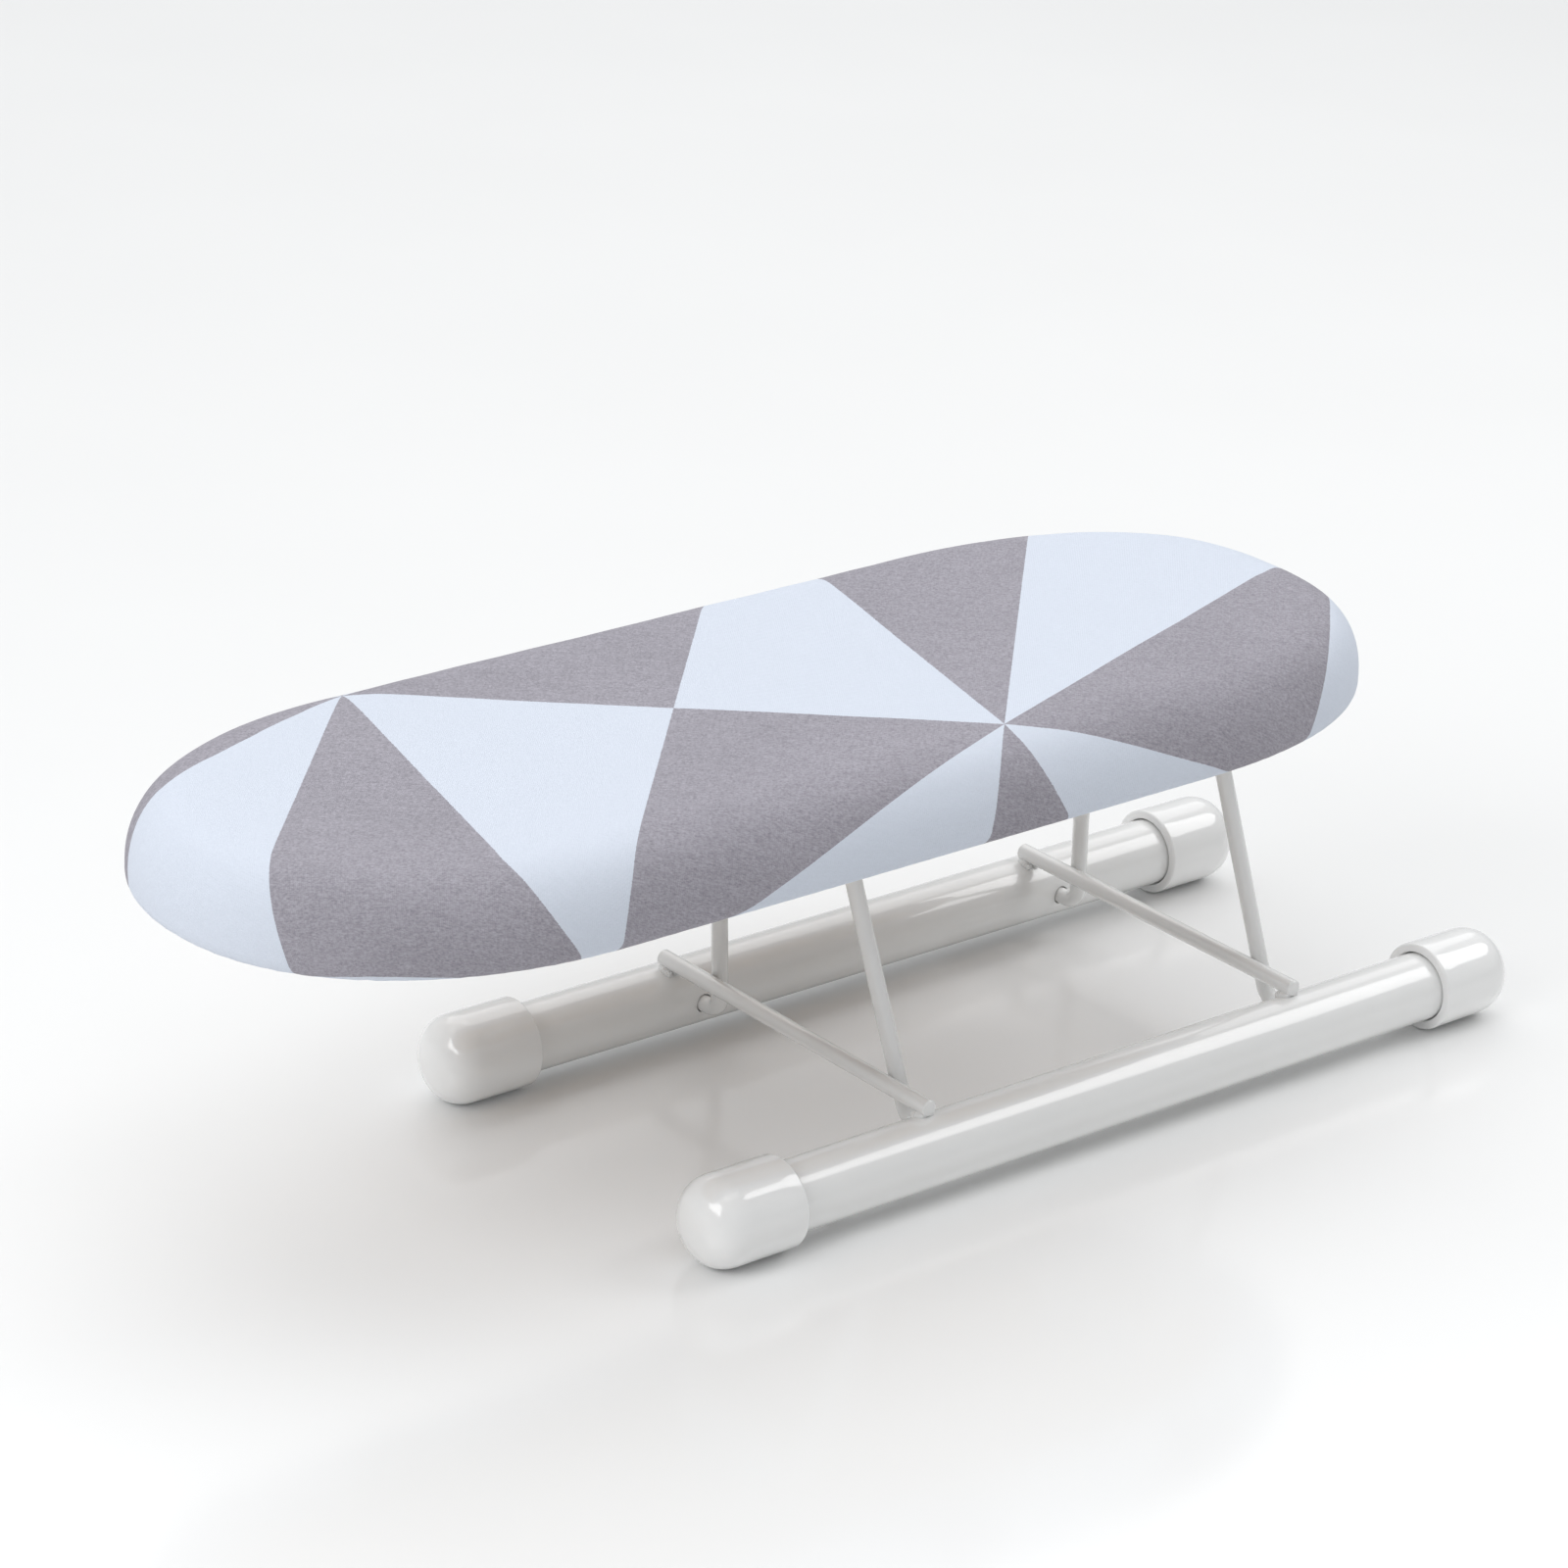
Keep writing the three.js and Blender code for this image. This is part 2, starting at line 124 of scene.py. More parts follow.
# %% Helper: one material's node tree
class Finish:
    """A material whose nodes are added one call at a time."""

    def __init__(self, name, colour, roughness, metallic=0.0):
        self.material = bpy.data.materials.new(name)
        self.material.use_nodes = True
        self.nodes = self.material.node_tree.nodes
        self.links = self.material.node_tree.links
        self.shader = self.nodes["Principled BSDF"]
        self.shader.inputs["Base Color"].default_value = (*colour, 1)
        self.shader.inputs["Roughness"].default_value = roughness
        self.shader.inputs["Metallic"].default_value = metallic

    def put(self, socket, value):
        """Joins an output to a socket, or sets a plain value on it."""
        if isinstance(value, bpy.types.NodeSocket):
            self.links.new(value, socket)
        else:
            socket.default_value = value

    def math(self, operation, first, second=0.0, third=0.0):
        node = self.nodes.new("ShaderNodeMath")
        node.operation = operation
        for socket, value in zip(node.inputs, (first, second, third)):
            self.put(socket, value)
        return node.outputs[0]

    def add(self, first, second):
        return self.math("ADD", first, second)

    def times(self, first, second):
        return self.math("MULTIPLY", first, second)

    def vector_math(self, operation, first, second):
        node = self.nodes.new("ShaderNodeVectorMath")
        node.operation = operation
        self.put(node.inputs[0], first)
        self.put(node.inputs["Scale"] if operation == "SCALE" else node.inputs[1], second)
        return node.outputs[0]

    def place(self):
        """The object's own coordinates in millimetres."""
        coordinates = self.nodes.new("ShaderNodeTexCoord").outputs["Object"]
        return self.vector_math("SCALE", coordinates, 1000.0)

    def attribute(self, name):
        node = self.nodes.new("ShaderNodeAttribute")
        node.attribute_name = name
        return node.outputs["Vector"]

    def split(self, vector):
        node = self.nodes.new("ShaderNodeSeparateXYZ")
        self.put(node.inputs[0], vector)
        return node.outputs

    def join(self, x, y, z=0.0):
        node = self.nodes.new("ShaderNodeCombineXYZ")
        for socket, value in zip(node.inputs, (x, y, z)):
            self.put(socket, value)
        return node.outputs[0]

    def noise(self, place, size, detail=2.0):
        """Cloudy noise from 0 to 1 whose features are about `size` millimetres."""
        node = self.nodes.new("ShaderNodeTexNoise")
        self.put(node.inputs["Vector"], place)
        node.inputs["Scale"].default_value = 1 / size
        node.inputs["Detail"].default_value = detail
        return node.outputs["Fac"]

    def cells(self, place, size):
        """Distance to the middle of the nearest cell."""
        node = self.nodes.new("ShaderNodeTexVoronoi")
        self.put(node.inputs["Vector"], place)
        node.inputs["Scale"].default_value = 1 / size
        return node.outputs["Distance"]

    def spread(self, value, low, high, to_low, to_high):
        """Moves a value from one range to another."""
        node = self.nodes.new("ShaderNodeMapRange")
        for socket, number in zip(node.inputs, (value, low, high, to_low, to_high)):
            self.put(socket, number)
        return node.outputs[0]

    def mix(self, factor, first, second):
        """A colour between two colours."""
        node = self.nodes.new("ShaderNodeMix")
        node.data_type = "RGBA"
        self.put(node.inputs["Factor"], factor)
        for socket, colour in ((node.inputs["A"], first), (node.inputs["B"], second)):
            self.put(socket, (*colour, 1) if isinstance(colour, tuple) else colour)
        return node.outputs["Result"]

    def shade(self, colour, factor):
        """A colour made darker or lighter by a factor near 1."""
        return self.vector_math("SCALE", colour, factor)

    def bump(self, height, depth):
        """Relief whose height runs from 0 to 1 over `depth` millimetres."""
        node = self.nodes.new("ShaderNodeBump")
        node.inputs["Distance"].default_value = depth * MM
        self.put(node.inputs["Height"], height)
        self.put(self.shader.inputs["Normal"], node.outputs[0])

    def set(self, **values):
        """Sets or joins shader sockets: Base_Color=..., Roughness=..., Coat_Weight=..."""
        for name, value in values.items():
            self.put(self.shader.inputs[name.replace("_", " ")], value)


def scaled(colour, factor):
    """A plain colour made darker or lighter."""
    return tuple(factor * value for value in colour)


print("materials are made by", Finish.__name__)

# %% [markdown]
# ## White powder coat
# Powder is blown on dry and melted in an oven. It flows out glossy but never quite level, which
# leaves a faint orange peel of a millimetre or two. A bump from soft noise gives the peel, a
# second noise varies the gloss, and a coat layer gives the sharp upper reflection.

# %% Make the two coats
def powder_coat(name, colour, peel_size):
    """Glossy white powder coat with orange peel of the given size in millimetres."""
    finish = Finish(name, colour, 0.3)
    place = finish.place()
    cloud = finish.noise(place, 24, 3)
    finish.set(
        Base_Color=finish.mix(cloud, scaled(colour, 0.965), colour),
        Roughness=finish.spread(finish.noise(place, 9, 3), 0.3, 0.7, 0.22, 0.27),
        Coat_Weight=1.0,
        Coat_Roughness=0.03,
    )
    finish.bump(finish.noise(place, peel_size, 2), 0.006)
    return finish.material


tube_coat = powder_coat("tube_powder_coat", (0.91, 0.91, 0.9), 1.6)
wire_coat = powder_coat("wire_powder_coat", (0.87, 0.87, 0.86), 1.1)
print("coats:", tube_coat.name, wire_coat.name)

# %% [markdown]
# ## White moulded plastic
# The end caps are injection moulded in a polished tool, so they are smoother than the coat and
# shine more. Plastic still shows faint flow marks along the length, where it cooled as it ran,
# and a little hair-fine scuffing where the cap stands on the table.

# %% Make the cap plastic
def cap_plastic():
    """Glossy white plastic with flow marks along its length."""
    finish = Finish("cap_moulded_plastic", (0.87, 0.87, 0.87), 0.15)
    place = finish.place()
    drawn_out = finish.vector_math("MULTIPLY", place, (0.15, 1.0, 1.0))
    flow = finish.noise(drawn_out, 5, 3)
    height = finish.split(place)[2]
    low_down = finish.spread(height, 0.0, 3.0, 0.22, 0.0)
    scuff = finish.times(finish.noise(place, 0.8, 4), low_down)
    finish.set(
        Base_Color=finish.mix(flow, (0.9, 0.9, 0.895), (0.93, 0.93, 0.92)),
        Roughness=finish.add(finish.spread(flow, 0.3, 0.7, 0.12, 0.18), scuff),
        IOR=1.49,
        Coat_Weight=1.0,
        Coat_Roughness=0.02,
    )
    finish.bump(flow, 0.012)
    return finish.material


cap_finish = cap_plastic()
print("caps:", cap_finish.name)

# %% [markdown]
# ## Zinc plate, fibreboard, foam, elastic and thread
# These are the finishes that are seen from below, or are inside. Zinc plate is a grey metal with
# cloudy patches. Fibreboard is pressed fibre: short streaks that cross. Foam is a mass of burst
# bubbles, which cells imitate well. Elastic is knitted in ribs across its length, and sewing
# thread is twisted, so slanted waves run along it. In the foam, the elastic and the thread the
# colour is darker in the pits and grooves: that darkening is painted shade.

# %% Make zinc plate and fibreboard
def zinc_plate():
    """Dull plated steel with cloudy patches and a fine grain."""
    finish = Finish("zinc_plate", (0.56, 0.58, 0.6), 0.38, 1.0)
    place = finish.place()
    patches = finish.cells(place, 2.2)
    finish.set(
        Base_Color=finish.mix(patches, (0.5, 0.52, 0.54), (0.66, 0.68, 0.69)),
        Roughness=finish.spread(finish.noise(place, 1.2, 4), 0.3, 0.7, 0.28, 0.5),
    )
    finish.bump(finish.noise(place, 0.35, 3), 0.02)
    return finish.material


def fibreboard():
    """Brown pressed fibre: three sets of short streaks and dark specks."""
    finish = Finish("pressed_fibreboard", (0.36, 0.24, 0.14), 0.75)
    place = finish.place()
    total = 0.0
    for stretch in ((0.12, 1.0, 1.0), (1.0, 0.12, 1.0), (0.4, 0.4, 1.0)):
        streaks = finish.noise(finish.vector_math("MULTIPLY", place, stretch), 0.5, 4)
        total = finish.add(streaks, total)
    fibre = finish.spread(total, 1.2, 1.8, 0.0, 1.0)
    specks = finish.spread(finish.noise(place, 0.9, 1), 0.68, 0.74, 0.0, 1.0)
    ground = finish.mix(fibre, (0.24, 0.145, 0.075), (0.47, 0.33, 0.2))
    finish.set(
        Base_Color=finish.mix(specks, ground, (0.13, 0.075, 0.04)),
        Roughness=finish.spread(fibre, 0.0, 1.0, 0.62, 0.85),
    )
    finish.bump(fibre, 0.12)
    return finish.material


zinc_finish = zinc_plate()
panel_finish = fibreboard()
print("metal and board:", zinc_finish.name, panel_finish.name)

# %% Make foam, elastic and thread
def open_foam():
    """Cream foam with burst bubbles of about a millimetre, darkened in the pits by painted shade.
    """
    finish = Finish("open_cell_foam", (0.82, 0.74, 0.5), 0.9)
    place = finish.place()
    bubble_relief_and_shade = finish.cells(place, 1.1)
    # Painted shade: the colour darkens towards each bubble's middle, where the bump is lowest.
    finish.set(
        Base_Color=finish.mix(bubble_relief_and_shade, (0.62, 0.53, 0.33), (0.87, 0.8, 0.58)),
        Roughness=finish.spread(bubble_relief_and_shade, 0.0, 1.0, 0.8, 1.0),
    )
    finish.bump(bubble_relief_and_shade, 0.5)
    return finish.material


def knitted_elastic():
    """White braid: ribs across the band and five cords along it, with painted shade darkening the
    grooves between them.
    """
    finish = Finish("knitted_elastic", (0.8, 0.8, 0.78), 0.8)
    along, across, _ = finish.split(finish.attribute("cloth_place"))
    ribs = finish.math("SINE", finish.times(along, 2 * math.pi / 1.1))
    cords = finish.math("SINE", finish.times(across, 2 * math.pi / 1.0))
    knit_relief_and_shade = finish.spread(finish.add(ribs, cords), -2.0, 2.0, 0.0, 1.0)
    # Painted shade: the colour is darker where the ribs and cords dip, where the bump is lowest.
    finish.set(
        Base_Color=finish.mix(knit_relief_and_shade, (0.62, 0.62, 0.6), (0.86, 0.86, 0.84)),
        Roughness=finish.spread(knit_relief_and_shade, 0.0, 1.0, 0.9, 0.7),
        Sheen_Weight=0.2,
    )
    finish.bump(knit_relief_and_shade, 0.25)
    return finish.material


def sewing_thread():
    """White twisted thread, with painted shade darkening the grooves of the twist."""
    finish = Finish("sewing_thread", (0.83, 0.83, 0.84), 0.6)
    x, y, z = finish.split(finish.place())
    slant = finish.add(finish.add(x, y), finish.times(z, 2.0))
    twist = finish.math("SINE", finish.times(slant, 2 * math.pi / 0.5))
    ply_relief_and_shade = finish.spread(twist, -1.0, 1.0, 0.0, 1.0)
    # Painted shade: the colour is darker in the grooves of the twist, where the bump is lowest.
    finish.set(
        Base_Color=finish.mix(ply_relief_and_shade, (0.66, 0.66, 0.68), (0.88, 0.88, 0.88)),
        Roughness=finish.spread(ply_relief_and_shade, 0.0, 1.0, 0.7, 0.5),
    )
    finish.bump(ply_relief_and_shade, 0.08)
    return finish.material


foam_finish = open_foam()
elastic_finish = knitted_elastic()
thread_finish = sewing_thread()
print("soft finishes:", foam_finish.name, elastic_finish.name, thread_finish.name)

# %% [markdown]
# ## The printed cotton
# The print is large: a net of rectangles, each cut by its two diagonals and its two middle
# lines, with neighbouring triangles in turn dark grey and pale blue. Every one of those lines is
# where a whole number is passed by p, q, (p + q) / 2 or (p - q) / 2, with p and q counted along
# the two sides of the rectangle. Adding the four rounded-down numbers and asking whether the sum
# is odd colours the whole net, with no list of triangles.
#
# The cloth itself is a fine plain weave. One yarn is a little lighter than the next, and the dark
# ink shows it as fine specks, with short streaks along both yarns. Print and yarns both follow
# the cloth round the edge, because p and q are read from a place that is stored with it, in
# millimetres along its own yarns.

# %% Make the printed cotton
PRINT_LENGTH = 108.8
PRINT_WIDTH = 200.2
YARN_PITCH = 0.62
PALE_INK = (0.715, 0.765, 0.86)
DARK_INK = (0.362, 0.346, 0.390)
YARN_SHARE = 0.5
SLUB_SHARE = 0.15
SPECK_SHARE = 0.9
HEATHER_LOW = 0.5
HEATHER_HIGH = 1.05


def print_parity(finish, along, across):
    """1 on a pale triangle and 0 on a dark one."""
    p = finish.math("DIVIDE", along, PRINT_LENGTH)
    q = finish.math("DIVIDE", across, PRINT_WIDTH)
    half_sum = finish.times(finish.add(p, q), 0.5)
    half_difference = finish.times(finish.math("SUBTRACT", p, q), 0.5)
    total = 0.0
    for value in (p, q, half_sum, half_difference):
        total = finish.add(finish.math("FLOOR", value), total)
    remainder = finish.math("FLOORED_MODULO", total, 2.0)
    return finish.math("GREATER_THAN", remainder, 0.5)


def yarn_streaks(finish, along, across, run, thickness):
    """Noise drawn out along one yarn: `run` long and `thickness` across, in millimetres."""
    place = finish.join(
        finish.math("DIVIDE", along, run),
        finish.math("DIVIDE", across, thickness),
        1.7 * run,
    )
    return finish.noise(place, 1.0, 2)


def printed_cotton():
    """Plain-weave cotton with the two-colour print."""
    finish = Finish("printed_cotton", DARK_INK, 0.85)
    along, across, _ = finish.split(finish.attribute("cloth_place"))
    fuzz = finish.spread(yarn_streaks(finish, along, across, 0.5, 0.5), 0, 1, -0.35, 0.35)
    pale = print_parity(finish, finish.add(along, fuzz), finish.add(across, fuzz))

    warp_yarn = yarn_streaks(finish, along, across, 3.2, 0.6)
    weft_yarn = yarn_streaks(finish, across, along, 3.6, 0.6)
    slub = yarn_streaks(finish, along, across, 26.0, 1.5)
    over = finish.math("SINE", finish.times(along, math.pi / YARN_PITCH))
    under = finish.math("SINE", finish.times(across, math.pi / YARN_PITCH))
    weave = finish.times(over, under)
    on_top = finish.spread(weave, -0.4, 0.4, 0.0, 1.0)
    yarn = finish.add(finish.times(warp_yarn, on_top),
                       finish.times(weft_yarn, finish.math("SUBTRACT", 1.0, on_top)))
    speck = yarn_streaks(finish, along, across, 0.9, 0.8)
    heather = finish.add(finish.times(yarn, YARN_SHARE),
                         finish.add(finish.times(slub, SLUB_SHARE),
                                    finish.times(speck, SPECK_SHARE)))
    light_yarn = finish.spread(heather, HEATHER_LOW, HEATHER_HIGH, 0.0, 1.0)
    fading = finish.spread(finish.noise(finish.join(along, across), 60, 2), 0.3, 0.7, 0.96, 1.04)
    dark_cloth = finish.shade(
        finish.mix(light_yarn, scaled(DARK_INK, 0.72), scaled(DARK_INK, 1.28)), fading)
    pale_cloth = finish.mix(light_yarn, scaled(PALE_INK, 0.955), PALE_INK)
    finish.set(
        Base_Color=finish.mix(pale, dark_cloth, pale_cloth),
        Roughness=finish.spread(heather, HEATHER_LOW, HEATHER_HIGH, 0.92, 0.74),
        Specular_IOR_Level=0.2,
        Sheen_Weight=0.04,
        Sheen_Roughness=0.5,
    )
    relief = finish.add(finish.math("ABSOLUTE", weave), heather)
    finish.bump(relief, 0.09)
    return finish.material


cotton_finish = printed_cotton()
print("cover:", cotton_finish.name)

# %% [markdown]
# ## Putting a mesh on its body
# Every new piece needs the same few things: smooth shading that still keeps real corners sharp,
# a finish, the body that it rides, and the CAD node that it stands for.

# %% Helper: add a piece
SHARP_CORNER = math.radians(40)


def add_piece(name, vertices, faces, finish, body, stands_for=()):
    """Makes a mesh object in metres and hangs it on a CAD body."""
    mesh = bpy.data.meshes.new(name)
    mesh.from_pydata([tuple(vertex) for vertex in vertices], [], faces)
    mesh.materials.append(finish)
    mesh.shade_smooth()
    mesh.set_sharp_from_angle(angle=SHARP_CORNER)
    piece = bpy.data.objects.new(name, mesh)
    bpy.context.scene.collection.objects.link(piece)
    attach(piece, body)
    if stands_for:
        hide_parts(*stands_for)
    return piece


def ring_faces(rings, around):
    """Quads between rings that hold `around` points each."""
    faces = []
    for ring in range(rings - 1):
        for step in range(around):
            here = ring * around + step
            beside = ring * around + (step + 1) % around
            faces.append((here, beside, beside + around, here + around))
    return faces


def closing_faces(rings, around):
    """Quads that join the last ring back to the first."""
    last = (rings - 1) * around
    faces = []
    for step in range(around):
        beside = (step + 1) % around
        faces.append((last + step, last + beside, beside, step))
    return faces


print("sharp corners are kept above", round(math.degrees(SHARP_CORNER)), "degrees")

# %% [markdown]
# ## Round bar that follows a path
# Legs, rods, weld beads and thread are all a circle drawn along a line. A curve object with a
# bevel would do it, but cannot chamfer its ends, so the rings are made here. Each ring's frame is
# carried from the one before and turned only as much as the path turns, so the bar never twists.

# %% Helper: a bar along a path
WIRE_SIDES = 32


def swept_bar(centres, radii, sides):
    """Vertices and faces of a round bar with its own radius at every centre."""
    centres = [Vector(centre) for centre in centres]
    tangents = []
    for index in range(len(centres)):
        before = centres[max(index - 1, 0)]
        after = centres[min(index + 1, len(centres) - 1)]
        tangents.append((after - before).normalized())
    side = tangents[0].orthogonal().normalized()
    vertices = []
    for index, (centre, tangent, radius) in enumerate(zip(centres, tangents, radii)):
        if index:
            side = tangents[index - 1].rotation_difference(tangent) @ side
        other = tangent.cross(side)
        for step in range(sides):
            angle = 2 * math.pi * step / sides
            spoke = side * math.cos(angle) + other * math.sin(angle)
            vertices.append(centre + spoke * radius)
    faces = ring_faces(len(centres), sides)
    last = (len(centres) - 1) * sides
    faces.append(tuple(reversed(range(sides))))
    faces.append(tuple(range(last, last + sides)))
    return vertices, faces


def cut_bar(path, radius, chamfer):
    """Wire of one thickness, with both cut ends chamfered."""
    path = [Vector(point) for point in path]
    first_step = (path[1] - path[0]).normalized() * chamfer
    last_step = (path[-2] - path[-1]).normalized() * chamfer
    centres = [path[0], path[0] + first_step, *path[1:-1], path[-1] + last_step, path[-1]]
    radii = [radius] * len(centres)
    radii[0] = radii[-1] = radius - chamfer
    return swept_bar(centres, radii, WIRE_SIDES)


print("wire has", WIRE_SIDES, "sides")

# %% [markdown]
# ## The leg frames
# Each frame is one length of 6 mm wire bent into an upside-down U, with its ends turned outwards
# as pins that go into the tubes. The wire is bent round a former, so each corner is an arc. The
# path is worked out from two joints, the foot pin and the top bar, and the arcs are put in where
# straight runs meet.

# %% Bend a path at its corners
WIRE_RADIUS = 3 * MM
FOOT_BEND = 8 * MM
TOP_BEND = 9 * MM
BEND_STEP = math.radians(6)
FOOT_CORNER_Y = 50.7 * MM
TOP_CORNER_Y = 31.9 * MM
PIN_CHAMFER = 0.4 * MM


def bent_path(corners, bend_radii):
    """Straight runs with an arc at each inner corner."""
    points = [corners[0]]
    for before, corner, after, radius in zip(corners, corners[1:], corners[2:], bend_radii):
        back = (before - corner).normalized()
        onward = (after - corner).normalized()
        half_angle = back.angle(onward) / 2
        centre = corner + (back + onward).normalized() * (radius / math.sin(half_angle))
        start = corner + back * (radius / math.tan(half_angle)) - centre
        end = corner + onward * (radius / math.tan(half_angle)) - centre
        turn = start.angle(end)
        axis = start.cross(end)
        steps = max(2, round(turn / BEND_STEP))
        for step in range(steps + 1):
            points.append(centre + Matrix.Rotation(turn * step / steps, 3, axis) @ start)
    points.append(corners[-1])
    return points


print("bend radii", FOOT_BEND / MM, "and", TOP_BEND / MM, "mm")

# %% Make the two leg frames
for end, foot in (("left", left_foot), ("right", right_foot)):
    node = f"leg_frame_{end}"
    pin_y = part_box(node)[1].y
    top_x = foot.x + left_top.x - left_foot.x
    corners = [
        Vector((foot.x, -pin_y, foot.z)),
        Vector((foot.x, -FOOT_CORNER_Y, foot.z)),
        Vector((top_x, -TOP_CORNER_Y, left_top.z)),
        Vector((top_x, TOP_CORNER_Y, left_top.z)),
        Vector((foot.x, FOOT_CORNER_Y, foot.z)),
        Vector((foot.x, pin_y, foot.z)),
    ]
    path = bent_path(corners, (FOOT_BEND, TOP_BEND, TOP_BEND, FOOT_BEND))
    vertices, faces = cut_bar(path, WIRE_RADIUS, PIN_CHAMFER)
    add_piece(f"bent_{node}", vertices, faces, wire_coat, f"{end}_leg", (node,))
    print(node, "has", len(path), "stations")

# %% [markdown]
# ## The cross rods and their welds
# Two straight rods of the same wire lie across the tubes. They keep the tubes apart and stop the
# legs. Each end is welded on top of the tube, and the coat goes on over the weld, so a bead is a
# soft lump in the corner on each side of the rod: a bar whose thickness swells along its length.

# %% Make the cross rods
ROD_CHAMFER = 0.45 * MM

for end in ("left", "right"):
    low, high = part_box(f"cross_rod_{end}")
    middle = (low + high) / 2
    path = [(middle.x, low.y, middle.z), (middle.x, 0, middle.z), (middle.x, high.y, middle.z)]
    vertices, faces = cut_bar(path, WIRE_RADIUS, ROD_CHAMFER)
    add_piece(f"cut_cross_rod_{end}", vertices, faces, wire_coat, "base",
              (f"cross_rod_{end}",))
    print("rod", end, "is", round((high.y - low.y) / MM), "mm long")

# %% Make the weld beads
WELD_LENGTH = 6 * MM
WELD_RADIUS = 1.8 * MM
WELD_OFFSET = 1.7 * MM
WELD_START = 0.6 * MM
WELD_LIFT = 0.35 * MM
WELD_STEPS = 16
WELD_SIDES = 16


def tube_top(y):
    """Height of the tube's skin at a distance across it."""
    return tube_z + math.sqrt(tube_radius**2 - (abs(y) - tube_y) ** 2)


def weld_bead(x, side_x, side_y):
    """One bead in the corner between the rod's end and the tube."""
    centres = []
    radii = []
    for step in range(WELD_STEPS + 1):
        share = step / WELD_STEPS
        y = side_y * (tube_y - WELD_START - WELD_LENGTH * share)
        swell = math.sin(math.pi * (0.08 + 0.84 * share)) ** 0.5
        centres.append((x + side_x * WELD_OFFSET, y, tube_top(y) + WELD_LIFT))
        radii.append(WELD_RADIUS * swell * (1 + 0.09 * math.sin(9.5 * step)))
    return swept_bar(centres, radii, WELD_SIDES)


for end in ("left", "right"):
    low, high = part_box(f"cross_rod_{end}")
    for side, side_y in (("front", -1), ("rear", 1)):
        for flank, side_x in (("outer", -1), ("inner", 1)):
            vertices, faces = weld_bead((low.x + high.x) / 2, side_x, side_y)
            add_piece(f"weld_{end}_{side}_{flank}", vertices, faces, wire_coat, "base")
print("welds: 8")

# %% [markdown]
# ## The base tubes
# The tubes are 25 mm steel with a thin wall, open inside, and drilled on their inner sides for
# the pins of the legs. A turned shape alone has no side holes, so two drills are subtracted with
# a boolean. Rings are set close together beside the holes only, so that no long thin face runs
# off from a hole and disturbs the smooth highlights on the tube.

# %% Helper: a turned body along X
def turned(profile, sides, start_x, direction, y, z, closed):
    """Turns (distance along, radius) points round a line parallel to X."""
    vertices = []
    for along, radius in profile:
        for step in range(sides):
            angle = 2 * math.pi * step / sides
            vertices.append((
                start_x + direction * along,
                y + radius * math.cos(angle),
                z + radius * math.sin(angle),
            ))
    faces = ring_faces(len(profile), sides)
    if closed:
        faces += closing_faces(len(profile), sides)
    else:
        faces.append(tuple(reversed(range(sides))))
        faces.append(tuple(range((len(profile) - 1) * sides, len(profile) * sides)))
    if direction > 0:
        faces = [tuple(reversed(face)) for face in faces]
    return vertices, faces


def apply_boolean(piece, cutter):
    """Subtracts the cutter from the piece and throws the cutter away."""
    modifier = piece.modifiers.new("drill", "BOOLEAN")
    modifier.operation = "DIFFERENCE"
    modifier.solver = "EXACT"
    modifier.object = cutter
    graph = bpy.context.evaluated_depsgraph_get()
    cut_mesh = bpy.data.meshes.new_from_object(piece.evaluated_get(graph))
    piece.modifiers.clear()
    old_mesh = piece.data
    piece.data = cut_mesh
    bpy.data.meshes.remove(old_mesh)
    cutter_mesh = cutter.data
    bpy.data.objects.remove(cutter)
    bpy.data.meshes.remove(cutter_mesh)


print("a drill is subtracted by", apply_boolean.__name__)

# %% Make and drill the two tubes
TUBE_WALL = 1.2 * MM
TUBE_SIDES = 96
HOLE_RADIUS = WIRE_RADIUS + 0.4 * MM
DRILL_SIDES = 40
DRILL_LEAD = 4 * MM
WIDE_STEP = 20 * MM
NEAR_HOLE = 7

tube_length = tube_high.x - tube_low.x
stations = {0.0, tube_length}
stations.update(np.arange(WIDE_STEP, tube_length - WIDE_STEP / 2, WIDE_STEP))
for foot in (left_foot, right_foot):
    hole = foot.x - tube_low.x
    stations = {place for place in stations if abs(place - hole) > (NEAR_HOLE + 1) * MM}
    stations.update(hole + offset * MM for offset in range(-NEAR_HOLE, NEAR_HOLE + 1))
outer_wall = [(along, tube_radius) for along in sorted(stations)]
inner_wall = [(along, tube_radius - TUBE_WALL) for along in sorted(stations, reverse=True)]

for side, side_y in (("front", -1), ("rear", 1)):
    node = f"skid_tube_{side}"
    vertices, faces = turned(outer_wall + inner_wall, TUBE_SIDES, tube_low.x, 1,
                             side_y * tube_y, tube_z, True)
    tube = add_piece(f"drawn_{node}", vertices, faces, tube_coat, "base", (node,))
    for foot in (left_foot, right_foot):
        drill_path = [(foot.x, side_y * (tube_y - tube_radius - DRILL_LEAD), foot.z),
                      (foot.x, side_y * tube_y, foot.z)]
        drill_vertices, drill_faces = swept_bar(drill_path, [HOLE_RADIUS] * 2, DRILL_SIDES)
        drill_mesh = bpy.data.meshes.new("drill")
        drill_mesh.from_pydata(drill_vertices, [], drill_faces)
        drill = bpy.data.objects.new("drill", drill_mesh)
        bpy.context.scene.collection.objects.link(drill)
        apply_boolean(tube, drill)
    tube.data.set_sharp_from_angle(angle=SHARP_CORNER)
    print(node, "has", len(tube.data.polygons), "faces")

# %% [markdown]
# ## The end caps
# Each cap is a thick round cup pushed over the tube. Its closed end is a low dome, a quarter of a
# superellipse, and the mouth is only just rounded, which draws a clear line round the tube.
# Turning one profile gives inside and outside together.

